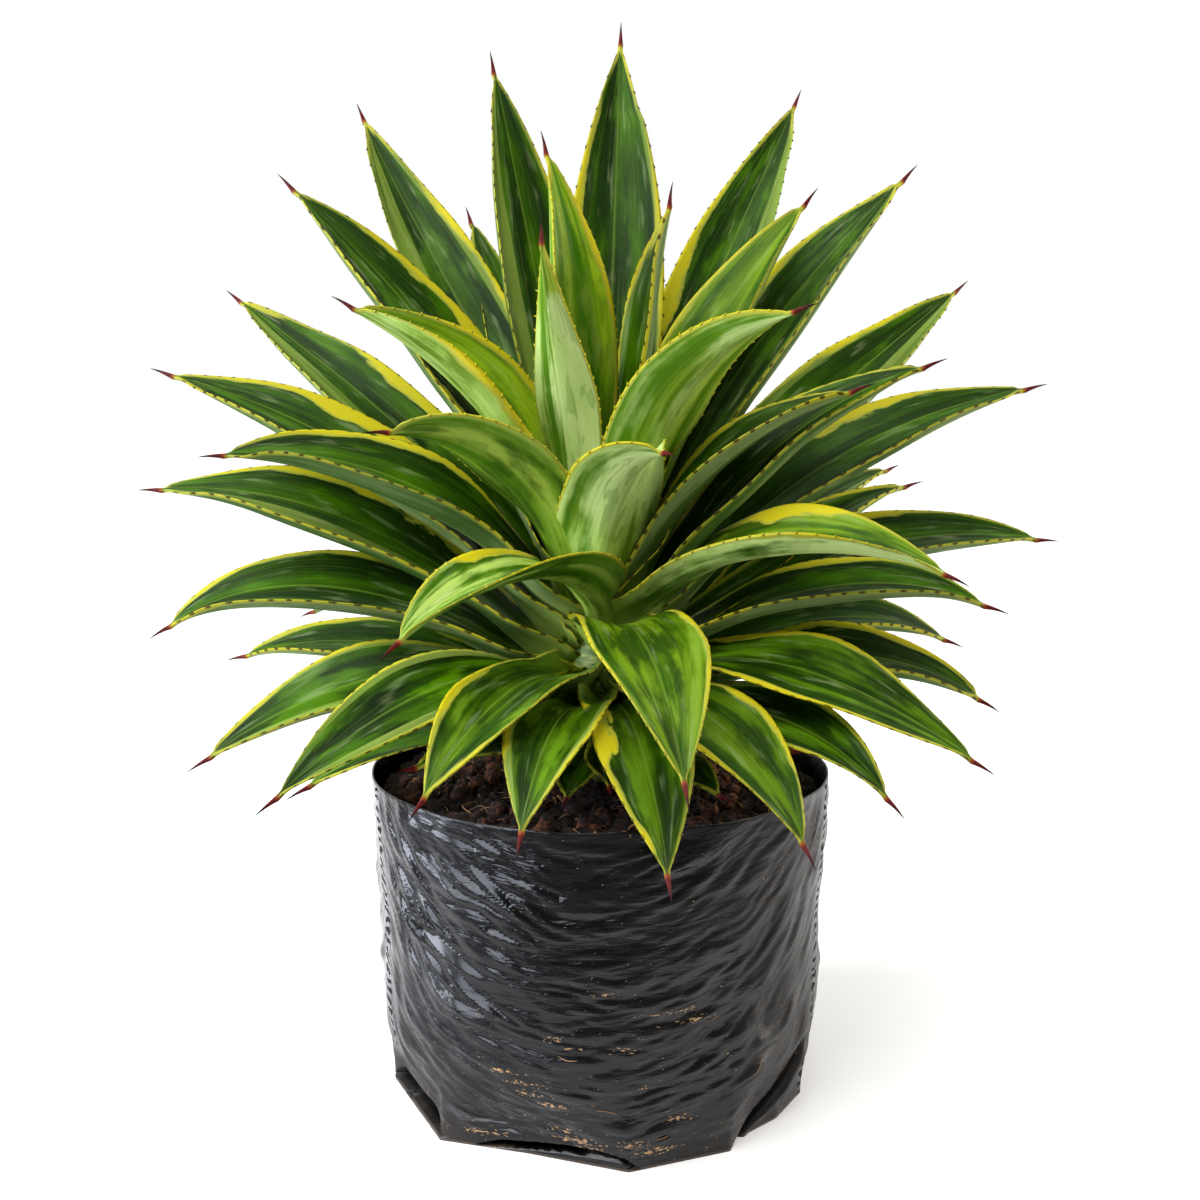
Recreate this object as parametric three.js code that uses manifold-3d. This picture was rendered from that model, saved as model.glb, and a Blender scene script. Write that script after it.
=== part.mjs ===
// A variegated agave in a black polythene grow bag. Millimetres, +Z up, the origin at the
// middle of the bag's flat bottom. The plant's front faces -Y and its right is +X.
//
// Each leaf is one closed solid: a channelled blade that thickens at its midrib, with the
// teeth of both margins and the end spine fused into it. The leaves stand in a spiral on a
// short stem, which stands in a plain hole in the soil, which fills the bag.

import * as THREE from 'three';
import { mergeVertices } from 'three/addons/utils/BufferGeometryUtils.js';
import Module from 'manifold-3d';

const wasm = await Module();
wasm.setup();

// ---- driving dimensions ------------------------------------------------------------------

const GAP = 0.3;                 // clearance between pieces that touch

const BAG = {
  rimRadius: 113,                // 14 inch lay-flat tube, opened: 2 * 356 / PI across
  footRadius: 106,
  height: 164,
  film: 1.0,                     // the film and its folds
  footRound: 9,                  // radius of the bottom edge
  flare: 0.6,                    // below 1, the side opens out mostly near the foot
  rings: [55, 110],              // heights at which the side bends
  sides: 32,
  squareness: 0.012,             // the filled tube is a little square in plan
};

const SOIL = {
  drop: 11,                      // from the rim down to the soil at the film
  crown: 6,                      // how much higher the soil is at the stem
  slope: [[0.72, 0.5], [0.4, 0.85]],   // parts of the rim's radius and of the crown
};

const STEM = {
  radius: 18.5,
  tipRadius: 8.5,
  tapersFrom: 195,
  top: 255,
  rootDepth: 30,                 // below the top of the soil
  sides: 16,
};

const BLADE = {
  rootClear: 0.5,                // from the stem's side to a leaf's root
  neck: 0.36,                    // width at the neck, as a part of the full width
  root: 0.38,                    // width at the root, likewise
  neckAt: 0.12,                  // where the neck is along the leaf
  wideAt: 0.52,                  // where the leaf is widest
  taper: 2.4,                    // how full the outline stays towards the tip
  spineAt: 0.955,                // where the blade ends and the spine starts
  spineHalfWidth: 1.6,
  ribAtRoot: 6.0,                // thickness along the midrib
  ribAtMiddle: 4.6,
  ribAtTip: 2.8,
  edge: 0.9,                     // thickness at the margins
  arcBase: 0.36,                 // pull of the curve's two handles, as parts of its chord
  arcTip: 0.40,
  grooveShare: 0.3,              // how much of the half width the rounded groove takes
  turnedAt: 0.55,                // where along the leaf its roll is complete
  opening: 0.35,                 // how much flatter the fold is halfway along the leaf
};

const TOOTH = {
  height: 1.9,
  halfBase: 1.3,
  lean: 0.8,                     // how far its point is moved towards the leaf's tip
  point: 0.3,                    // thickness at its point
  places: [0.2, 0.38, 0.57, 0.76],
};

const ROOT_RINGS = [0, 0.08];    // where along the leaf its first sections are

const STEM_RINGS = [195, 210, 225, 240, 253];   // heights

const COLOURS = {
  film: '#1c1e20',
  soil: '#3b2618',
  stem: '#a9bd7e',
  leaf: '#44741f',
};

// Each row is one leaf, and is read as
// [azimuth, reach, tip height, root height, rise, fall, width, roll, sweep, fold].
// Azimuth 0 points right and 90 to the back. Reach is how far the spine's tip is from the
// stem's axis. Rise and fall are the slopes, in degrees, at which the leaf leaves the stem
// and ends. Roll turns the upper face to the front, sweep turns the root away from the
// azimuth, and fold is how steeply each half of the blade stands up from the midrib.
const LEAVES = [
  // tall leaves at the back
  [84, 107, 540, 235, 78, 72, 50, 0, 0, 18],
  [124, 102, 522, 240, 78, 69, 46, 12, 0, 18],
  [131, 209, 505, 230, 74, 54, 48, 28, 0, 18],
  [160, 175, 458, 236, 72, 40, 46, 32, 0, 18],
  [147, 250, 401, 218, 56, 29, 46, 34, 0, 18],
  [135, 41, 476, 250, 88, 66, 40, 8, 0, 18],
  [-150, 32, 432, 255, 88, 86, 34, -35, 0, 24],
  [118, 160, 447, 226, 62, 48, 42, 0, 0, 18],
  [30, 41, 451, 252, 82, 75, 34, 0, 0, 30],
  [56, 205, 514, 230, 74, 50, 48, 25, 0, 18],
  [28, 126, 451, 245, 78, 44, 42, 28, 0, 18],
  [25, 182, 464, 236, 70, 40, 48, 28, 0, 18],
  // right side, from the top down
  [38, 270, 407, 213, 56, 30, 50, 34, 0, 18],
  [0, 168, 366, 227, 60, 16, 42, 30, 0, 24],
  [12, 235, 352, 219, 54, 9, 46, 32, 0, 18],
  [44, 246, 300, 204, 34, 8, 32, 20, 0, 18],
  [27, 197, 298, 203, 32, 6, 34, 20, 0, 18],
  [14, 250, 269, 212, 36, -10, 44, 32, 0, 18],
  // young folded leaves round the heart
  [-24, 109, 392, 252, 84, 12, 46, -38, 0, 34],
  [176, 131, 396, 243, 80, 24, 54, 24, 0, 70],
  [-157, 119, 333, 237, 84, -10, 44, -28, 0, 30],
  // left side, from the top down
  [-178, 195, 319, 230, 60, -8, 46, 38, 0, 18],
  [168, 236, 360, 222, 52, 14, 46, 34, 0, 18],
  [170, 242, 298, 212, 42, -6, 48, 34, 0, 18],
  [176, 229, 225, 204, 36, -38, 48, 32, 0, 18],
  [160, 216, 202, 196, 18, -20, 36, 30, 0, 18],
  [-168, 202, 171, 196, 34, -36, 44, 32, 0, 18],
  [-144, 187, 170, 203, 34, -34, 44, 28, 0, 18],
  // front, from left to right
  [-132, 143, 238, 237, 82, -42, 50, 0, 45, 36],
  [-121, 157, 175, 208, 29, -40, 44, 8, 0, 20],
  [-104, 146, 160, 196, 24, -60, 42, 0, 0, 18],
  [-78, 146, 141, 198, 22, -60, 46, 0, 0, 18],
  [-77, 162, 186, 226, 45, -62, 54, 0, 0, 20],
  [-53, 155, 150, 200, 25, -55, 46, 10, 0, 18],
  [-32, 163, 161, 193, 20, -50, 44, 20, 0, 18],
  [-22, 196, 178, 208, 30, -33, 48, 28, 0, 18],
  [-2, 199, 192, 196, 24, -38, 42, 30, 0, 18],
  [18, 205, 211, 200, 26, -30, 38, 28, 0, 18],
  [-6, 199, 244, 218, 28, -25, 42, 25, 0, 18],
  [-22, 181, 265, 233, 55, -30, 46, 28, 0, 24],
  [-62, 73, 323, 247, 82, -24, 54, -20, -32, 30],
  [-10, 132, 355, 241, 72, 14, 38, 20, 0, 30],
  // small old leaves low on the stem
  [-52, 102, 166, 172, 16, -14, 30, 0, 0, 18],
  [-31, 118, 185, 174, 18, -8, 30, 0, 0, 18],
  [-103, 81, 163, 174, 18, -12, 22, 0, 0, 18],
  [-86, 79, 169, 180, 22, -6, 22, 0, 0, 18],
  [-138, 126, 182, 174, 18, -8, 32, 10, 0, 18],
  [-156, 160, 164, 188, 20, -30, 38, 20, 0, 18],
  // the back of the rosette
  [62, 215, 330, 218, 56, 20, 46, 0, 0, 18],
  [88, 220, 315, 211, 50, 15, 46, 0, 0, 18],
  [128, 215, 300, 208, 46, 10, 46, 0, 0, 18],
  [76, 230, 255, 206, 38, -15, 46, 0, 0, 18],
  [106, 232, 240, 204, 36, -20, 46, 0, 0, 18],
  [142, 220, 215, 190, 30, -28, 44, 0, 0, 18],
  [50, 215, 190, 192, 26, -38, 44, 0, 0, 18],
  [88, 205, 175, 190, 22, -40, 44, 0, 0, 18],
  [118, 192, 172, 184, 18, -42, 42, 0, 0, 18],
];

// ---- small helpers -----------------------------------------------------------------------

const radians = THREE.MathUtils.degToRad;

function smooth(t) {
  const x = Math.min(Math.max(t, 0), 1);
  return x * x * (3 - 2 * x);
}

function mix(a, b, t) {
  return a + (b - a) * t;
}

function direction(azimuth, slope) {
  const a = radians(azimuth);
  const e = radians(slope);
  return new THREE.Vector3(Math.cos(a) * Math.cos(e), Math.sin(a) * Math.cos(e), Math.sin(e));
}

function paint(colour, roughness) {
  return new THREE.MeshStandardMaterial({ color: colour, roughness, metalness: 0 });
}

// ---- joining and cutting -----------------------------------------------------------------

function toSolid(geometry) {
  const bare = geometry.index ? geometry.toNonIndexed() : geometry.clone();
  for (const name of Object.keys(bare.attributes)) {
    if (name !== 'position') {
      bare.deleteAttribute(name);
    }
  }
  const merged = mergeVertices(bare, 1e-3);
  return new wasm.Manifold(new wasm.Mesh({
    numProp: 3,
    vertProperties: new Float32Array(merged.attributes.position.array),
    triVerts: new Uint32Array(merged.index.array),
  }));
}

function toGeometry(solid) {
  const mesh = solid.getMesh();
  const geometry = new THREE.BufferGeometry();
  geometry.setAttribute('position', new THREE.BufferAttribute(mesh.vertProperties, 3));
  geometry.setIndex(new THREE.BufferAttribute(mesh.triVerts, 1));
  geometry.computeVertexNormals();
  return geometry;
}

function largestBody(solid) {
  const bodies = solid.decompose();
  return bodies.reduce((best, body) => (body.volume() > best.volume() ? body : best));
}

// A closed skin over a row of loops, all of the same number of points, with a flat cap on
// its first loop and a point at its end.
function skin(loops, point) {
  const count = loops[0].length;
  const positions = loops.flat().concat([point]).flatMap((p) => [p.x, p.y, p.z]);
  const triangles = [];
  for (let ring = 0; ring + 1 < loops.length; ring += 1) {
    for (let k = 0; k < count; k += 1) {
      const next = (k + 1) % count;
      const a = ring * count + k;
      const b = ring * count + next;
      const c = a + count;
      const d = b + count;
      // the lower face mirrors the upper one, so that both split along the same diagonal
      if (k < count / 2) {
        triangles.push(a, b, d, a, d, c);
      } else {
        triangles.push(a, b, c, b, d, c);
      }
    }
  }
  for (let k = 0; k + 1 < count / 2; k += 1) {
    const below = count - 1 - k;
    triangles.push(k, below, k + 1, k + 1, below, below - 1);
  }
  const last = (loops.length - 1) * count;
  for (let k = 0; k < count; k += 1) {
    triangles.push(last + k, last + ((k + 1) % count), positions.length / 3 - 1);
  }
  const geometry = new THREE.BufferGeometry();
  geometry.setAttribute('position', new THREE.Float32BufferAttribute(positions, 3));
  geometry.setIndex(triangles);
  return geometry;
}

// ---- leaves ------------------------------------------------------------------------------

function halfWidth(s, width) {
  const half = width / 2;
  if (s < BLADE.neckAt) {
    return half * mix(BLADE.root, BLADE.neck, smooth(s / BLADE.neckAt));
  }
  if (s < BLADE.wideAt) {
    return half * mix(BLADE.neck, 1, smooth((s - BLADE.neckAt) / (BLADE.wideAt - BLADE.neckAt)));
  }
  const t = (s - BLADE.wideAt) / (BLADE.spineAt - BLADE.wideAt);
  return Math.max(half * (1 - Math.min(t, 1) ** BLADE.taper), BLADE.spineHalfWidth);
}

function ribThickness(s) {
  if (s < BLADE.wideAt) {
    return mix(BLADE.ribAtRoot, BLADE.ribAtMiddle, smooth(s / BLADE.wideAt));
  }
  return mix(BLADE.ribAtMiddle, BLADE.ribAtTip, (s - BLADE.wideAt) / (1 - BLADE.wideAt));
}

// The leaf's midrib is one cubic curve. The frame at s has its side, its upper side (lift)
// and the two half-blades' fold and half width.
function leafShape(row) {
  const [azimuth, reach, tipHeight, rootHeight, rise, fall, width, roll, sweep, fold] = row;
  const rootAzimuth = azimuth + sweep;
  const rootRadius = stemRadius(rootHeight) + BLADE.rootClear;
  const root = direction(rootAzimuth, 0).multiplyScalar(rootRadius).setZ(rootHeight);
  const tip = direction(azimuth, 0).multiplyScalar(reach).setZ(tipHeight);
  const chord = root.distanceTo(tip);
  const curve = new THREE.CubicBezierCurve3(
    root,
    root.clone().addScaledVector(direction(rootAzimuth, rise), BLADE.arcBase * chord),
    tip.clone().addScaledVector(direction(azimuth, fall), -BLADE.arcTip * chord),
    tip,
  );
  const frontward = Math.cos(radians(azimuth)) >= 0 ? 1 : -1;
  return { curve, azimuth, rootAzimuth, width, fold, roll: roll * frontward };
}

function leafFrame(shape, s) {
  const centre = shape.curve.getPoint(s);
  const along = shape.curve.getTangent(s);
  const flat = radians(mix(shape.rootAzimuth, shape.azimuth, s));
  const level = new THREE.Vector3(-Math.sin(flat), Math.cos(flat), 0);
  level.addScaledVector(along, -level.dot(along)).normalize();
  const turn = radians(shape.roll) * smooth(s / BLADE.turnedAt);
  const side = level.applyAxisAngle(along, turn);
  const lift = new THREE.Vector3().crossVectors(along, side);
  const fold = radians(shape.fold * (1 - BLADE.opening * Math.sin(Math.PI * s)));
  return { centre, along, side, lift, fold, half: halfWidth(s, shape.width) };
}

// The margin on one side of the leaf. The half-blade first bends up in a rounded groove, and
// then goes on straight.
function marginPoint(frame, hand) {
  const groove = BLADE.grooveShare / frame.fold;
  const rest = 1 - BLADE.grooveShare;
  const across = groove * Math.sin(frame.fold) + rest * Math.cos(frame.fold);
  const up = groove * (1 - Math.cos(frame.fold)) + rest * Math.sin(frame.fold);
  return frame.centre.clone()
    .addScaledVector(frame.side, hand * frame.half * across)
    .addScaledVector(frame.lift, frame.half * up);
}

// One closed section of the leaf: its two margins and its midrib, above and below. At a tooth
// both margins are pushed out to a point that leans towards the leaf's tip.
function leafLoop(shape, ring, grow) {
  const frame = leafFrame(shape, ring.s);
  frame.half += grow;
  const shift = (point, amount) => point.clone().addScaledVector(frame.lift, amount);
  const margins = [1, -1].map((hand) => {
    const margin = marginPoint(frame, hand);
    if (ring.toothed) {
      const outward = margin.clone().sub(frame.centre).normalize();
      margin.addScaledVector(outward, TOOTH.height).addScaledVector(frame.along, TOOTH.lean);
    }
    return margin;
  });
  const edge = (ring.toothed ? TOOTH.point : BLADE.edge) / 2 + grow;
  return [
    shift(margins[0], edge),
    shift(frame.centre, grow),
    shift(margins[1], edge),
    shift(margins[1], -edge),
    shift(frame.centre, -ribThickness(ring.s) - grow),
    shift(margins[0], -edge),
  ];
}

// Where the leaf's sections are: at its root, at the foot and point of each tooth, and where
// the spine starts.
function leafRings(shape) {
  const step = TOOTH.halfBase / shape.curve.getLength();
  return [
    ...ROOT_RINGS.map((s) => ({ s })),
    ...TOOTH.places.flatMap((s) => [{ s: s - step }, { s, toothed: true }, { s: s + step }]),
    { s: BLADE.spineAt },
  ];
}

function leafSolid(row, grow) {
  const shape = leafShape(row);
  const loops = leafRings(shape).map((ring) => leafLoop(shape, ring, grow));
  const end = leafFrame(shape, 1);
  return toSolid(skin(loops, end.centre.addScaledVector(end.along, grow)));
}

// Leaves pressed together do not pass through each other: each gives way, by the gap, to the
// stem and to the leaves before it in the table. What is left can have a scrap that hangs on
// by a corner only, so it is closed up again and its largest body is kept.
function growLeaves(stemSolid) {
  const group = new THREE.Group();
  const placed = [stemSolid];
  const material = paint(COLOURS.leaf, 0.42);
  LEAVES.forEach((row, index) => {
    let solid = leafSolid(row, 0);
    for (const other of placed) {
      solid = solid.subtract(other);
    }
    solid = largestBody(toSolid(toGeometry(largestBody(solid))));
    const leaf = new THREE.Mesh(toGeometry(solid), material.clone());
    leaf.name = `leaf_${String(index + 1).padStart(2, '0')}`;
    group.add(leaf);
    placed.push(leafSolid(row, GAP));
  });
  return group;
}

// ---- bag, soil and stem ------------------------------------------------------------------

// Pushes a lathed shape from round towards square, by the same part at every height.
function squareOff(geometry) {
  const position = geometry.attributes.position;
  for (let i = 0; i < position.count; i += 1) {
    const angle = Math.atan2(position.getY(i), position.getX(i));
    const factor = 1 - BAG.squareness * Math.cos(4 * angle);
    position.setXY(i, position.getX(i) * factor, position.getY(i) * factor);
  }
  return geometry;
}

// LatheGeometry turns about Y; this turns its result up to +Z.
function lathe(profile, sides) {
  const points = profile.map(([r, z]) => new THREE.Vector2(r, z));
  return new THREE.LatheGeometry(points, sides).rotateX(Math.PI / 2);
}

// How far the bag's side is from its axis, at a height above the round at its foot.
function sideRadius(z) {
  const share = (z - BAG.footRound) / (BAG.height - BAG.footRound);
  return mix(BAG.footRadius, BAG.rimRadius, share ** BAG.flare);
}

// The side of the bag, from the round at its foot up to a height, moved in by an inset.
function bagSide(top, inset) {
  const side = [];
  const round = BAG.footRound;
  for (const angle of [0, 45, 90].map(radians)) {
    side.push([
      BAG.footRadius - round + (round - inset) * Math.sin(angle),
      round - (round - inset) * Math.cos(angle),
    ]);
  }
  for (const z of [...BAG.rings, top]) {
    side.push([sideRadius(z) - inset, z]);
  }
  return side;
}

function makeBag() {
  const outside = [[0, 0], ...bagSide(BAG.height, 0)];
  const inside = [...bagSide(BAG.height, BAG.film).reverse(), [0, BAG.film]];
  const bag = new THREE.Mesh(
    squareOff(lathe([...outside, ...inside], BAG.sides)),
    paint(COLOURS.film, 0.3),
  );
  bag.name = 'grow_bag';
  return bag;
}

function soilTop() {
  return BAG.height - SOIL.drop + SOIL.crown;
}

function makeSoil() {
  const inset = BAG.film + GAP;
  const hole = STEM.radius + GAP;
  const top = BAG.height - SOIL.drop;
  const soil = new THREE.Mesh(
    squareOff(lathe([
      [0, inset],
      ...bagSide(top, inset),
      ...SOIL.slope.map(([out, up]) => [BAG.rimRadius * out, top + SOIL.crown * up]),
      [hole, soilTop()],
      [hole, soilTop() - STEM.rootDepth - GAP],
      [0, soilTop() - STEM.rootDepth - GAP],
    ], BAG.sides)),
    paint(COLOURS.soil, 0.95),
  );
  soil.name = 'soil';
  return soil;
}

function stemRadius(z) {
  const share = (z - STEM.tapersFrom) / (STEM.top - STEM.tapersFrom);
  return mix(STEM.radius, STEM.tipRadius, smooth(share));
}

function stemProfile(grow) {
  const foot = soilTop() - STEM.rootDepth;
  const side = [foot, ...STEM_RINGS].map((z) => [stemRadius(z) + grow, z]);
  side[0][1] -= grow;
  return [[0, foot - grow], ...side, [0, STEM.top + grow]];
}

function makeStem() {
  const stem = new THREE.Mesh(lathe(stemProfile(0), STEM.sides), paint(COLOURS.stem, 0.5));
  stem.name = 'stem';
  return stem;
}

// ---- the part ----------------------------------------------------------------------------

const part = new THREE.Group();
part.add(makeBag());
part.add(makeSoil());
part.add(makeStem());
part.add(growLeaves(toSolid(lathe(stemProfile(GAP), STEM.sides))));

export default part;
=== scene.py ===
"""A variegated agave in a black polythene grow bag: its looks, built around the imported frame.

Blender units are metres, +Z up, the origin at the middle of the bag's flat bottom and -Y
towards the plant's front. The plant's own sizes are in millimetres and degrees.
"""
import math
import random
from collections import namedtuple

import bmesh
import bpy
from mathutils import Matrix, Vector, noise


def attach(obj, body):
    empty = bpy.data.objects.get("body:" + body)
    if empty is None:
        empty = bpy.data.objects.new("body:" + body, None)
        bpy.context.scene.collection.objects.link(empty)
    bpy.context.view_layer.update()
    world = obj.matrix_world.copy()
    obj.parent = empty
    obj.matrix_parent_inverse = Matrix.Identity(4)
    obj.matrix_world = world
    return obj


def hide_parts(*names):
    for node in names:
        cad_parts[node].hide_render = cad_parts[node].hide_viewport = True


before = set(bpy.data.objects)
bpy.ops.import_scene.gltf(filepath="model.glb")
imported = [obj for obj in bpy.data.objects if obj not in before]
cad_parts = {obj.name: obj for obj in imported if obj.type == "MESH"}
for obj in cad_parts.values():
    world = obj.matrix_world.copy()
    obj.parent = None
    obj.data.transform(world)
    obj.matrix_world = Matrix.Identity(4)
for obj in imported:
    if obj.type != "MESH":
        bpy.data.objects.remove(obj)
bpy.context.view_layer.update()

MM = 0.001

# ---- camera ------------------------------------------------------------------------------

LENS = 50.0
SENSOR = 36.0
CAMERA_PLACE = (0.0, -0.815, 0.384)
CAMERA_DOWN = 9.5               # degrees below level
PLANT_MIDDLE = 0.25

# ---- the plant, in mm and degrees ----------------------------------------------------------

STEM_RADIUS = 18.5
STEM_TIP_RADIUS = 8.5
STEM_TAPERS_FROM = 195.0
STEM_TOP = 255.0
STEM_ROOT_DEPTH = 30.0
ROOT_CLEAR = 0.5                # from the stem's side to a leaf's root

NECK_AT = 0.12                  # places along a leaf, as parts of its length
WIDE_AT = 0.52
TURNED_AT = 0.55
SPINE_LENGTH = 11.0
SPINE_MERGES = 6.0              # the blade's last part, which rounds into the spine
TAPER = 2.3                     # how full the outline stays towards the tip
FRONT_TAPER = 1.5               # leaves in front run straighter to a slender tip
NECK = 0.72                     # width at the neck, as a part of the full width
ROOT_FLARE = 1.15               # width at the root, as a part of the neck
RIB_AT_ROOT = 8.0               # thickness along the midrib
RIB_AT_MIDDLE = 4.6
RIB_AT_TIP = 2.8
EDGE = 0.8                      # thickness at the margins
SPINE_RADIUS = 1.35
SPINE_POINT = 0.12
ARC_BASE = 0.36                 # pull of the midrib's two handles, as parts of its chord
ARC_TIP = 0.40
GROOVE_SHARE = 0.3              # how much of the half width the rounded groove takes
OPENING = 0.35                  # how much flatter the fold is halfway along the leaf
CLASP = 58.0                    # fold at the root, which clasps the stem
CLASP_TO = 0.16
CURL = 72.0                     # how far the near margin of a side leaf turns up
CURL_FROM = 0.66                # and the place across the half blade where it starts to
NEAR_HALF = 1.12                # the near half of a side leaf is that much broader

TOOTH_SPACING = 8.0             # old leaves; on young ones the teeth stand closer
YOUNG_TOOTH_SPACING = 5.4
TOOTH_HEIGHT = 0.9
YOUNG_TOOTH_HEIGHT = 2.4
TOOTH_RADIUS = 0.7

SPANS = 58                      # sections along a leaf
SPINE_SPANS = 14                # of those, on the spine and the blade's last part
# places across half a blade, from its midrib to its margin
ACROSS = [0.0, 0.1, 0.2, 0.3, 0.42, 0.54, 0.64, 0.72, 0.79, 0.86, 0.93, 1.0]

# Each row is one leaf: [azimuth, reach, tip height, root height, rise, fall, width, roll,
# sweep, fold]. Azimuth 0 points right and 90 to the back. Reach is how far the spine's tip
# is from the stem's axis. Rise and fall are the slopes at which the leaf leaves the stem and
# ends. Roll turns the upper face to the front, sweep turns the root away from the azimuth,
# and fold is how steeply each half of the blade stands up from the midrib.
LEAVES = [
    # tall leaves at the back
    [84, 107, 540, 235, 78, 72, 50, 0, 0, 18],
    [124, 102, 522, 240, 78, 69, 46, 12, 0, 18],
    [131, 209, 505, 230, 74, 54, 48, 28, 0, 18],
    [160, 175, 458, 236, 72, 40, 46, 32, 0, 18],
    [147, 250, 401, 218, 56, 29, 46, 34, 0, 18],
    [135, 41, 476, 250, 88, 66, 40, 8, 0, 18],
    [-150, 32, 432, 255, 88, 86, 34, -35, 0, 24],
    [118, 160, 447, 226, 62, 48, 42, 0, 0, 18],
    [30, 41, 451, 252, 82, 75, 34, 0, 0, 30],
    [56, 205, 514, 230, 74, 50, 48, 25, 0, 18],
    [28, 126, 451, 245, 78, 44, 42, 28, 0, 18],
    [25, 182, 464, 236, 70, 40, 48, 28, 0, 18],
    # right side, from the top down
    [38, 270, 407, 213, 56, 30, 50, 34, 0, 18],
    [0, 168, 366, 227, 60, 16, 42, 30, 0, 24],
    [12, 235, 352, 219, 54, 9, 46, 32, 0, 18],
    [44, 246, 300, 204, 34, 8, 32, 20, 0, 18],
    [27, 197, 298, 203, 32, 6, 34, 20, 0, 18],
    [14, 250, 269, 212, 36, -10, 44, 32, 0, 18],
    # young folded leaves round the heart
    [-24, 109, 392, 252, 84, 12, 46, -38, 0, 34],
    [176, 131, 396, 243, 80, 24, 54, 24, 0, 70],
    [-157, 119, 333, 237, 84, -10, 50, -28, 0, 30],
    # left side, from the top down
    [-178, 195, 319, 230, 60, -8, 46, 38, 0, 18],
    [168, 236, 360, 222, 52, 14, 46, 34, 0, 18],
    [170, 242, 298, 212, 42, -6, 48, 34, 0, 18],
    [176, 229, 225, 204, 36, -38, 48, 32, 0, 18],
    [160, 216, 202, 196, 18, -20, 36, 30, 0, 18],
    [-168, 202, 171, 196, 34, -36, 44, 32, 0, 18],
    [-144, 187, 170, 203, 34, -34, 44, 28, 0, 18],
    # front, from left to right
    [-132, 143, 238, 237, 82, -42, 50, 0, 45, 36],
    [-121, 157, 175, 208, 29, -40, 44, 8, 0, 20],
    [-104, 146, 160, 196, 24, -60, 42, 0, 0, 18],
    [-78, 146, 141, 198, 22, -60, 46, 0, 0, 18],
    [-77, 162, 186, 226, 45, -62, 54, 0, 0, 20],
    [-53, 155, 150, 200, 25, -55, 46, 10, 0, 18],
    [-32, 163, 161, 193, 20, -50, 44, 20, 0, 18],
    [-22, 196, 178, 208, 30, -33, 48, 28, 0, 18],
    [-2, 199, 192, 196, 24, -38, 42, 30, 0, 18],
    [18, 205, 211, 200, 26, -30, 38, 28, 0, 18],
    [-6, 199, 244, 218, 28, -25, 42, 25, 0, 18],
    [-22, 181, 265, 233, 55, -30, 46, 28, 0, 24],
    [-62, 73, 323, 247, 66, -24, 54, 6, -32, 38],
    [-10, 132, 355, 241, 72, 14, 38, 20, 0, 30],
    # small old leaves low on the stem
    [-52, 102, 166, 172, 16, -14, 30, 0, 0, 18],
    [-31, 118, 185, 174, 18, -8, 30, 0, 0, 18],
    [-103, 81, 163, 174, 18, -12, 22, 0, 0, 18],
    [-86, 79, 169, 180, 22, -6, 22, 0, 0, 18],
    [-138, 126, 182, 174, 18, -8, 32, 10, 0, 18],
    [-156, 160, 164, 188, 20, -30, 38, 20, 0, 18],
    # the back of the rosette
    [62, 215, 330, 218, 56, 20, 46, 0, 0, 18],
    [88, 220, 315, 211, 50, 15, 50, 0, 0, 18],
    [128, 215, 300, 208, 46, 10, 54, 0, 0, 18],
    [76, 230, 255, 206, 38, -15, 46, 0, 0, 18],
    [106, 232, 240, 204, 36, -20, 46, 0, 0, 18],
    [142, 220, 215, 190, 30, -28, 44, 0, 0, 18],
    [50, 215, 190, 192, 26, -38, 44, 0, 0, 18],
    [88, 205, 175, 190, 22, -40, 44, 0, 0, 18],
    [118, 192, 172, 184, 18, -42, 42, 0, 0, 18],
]

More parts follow.
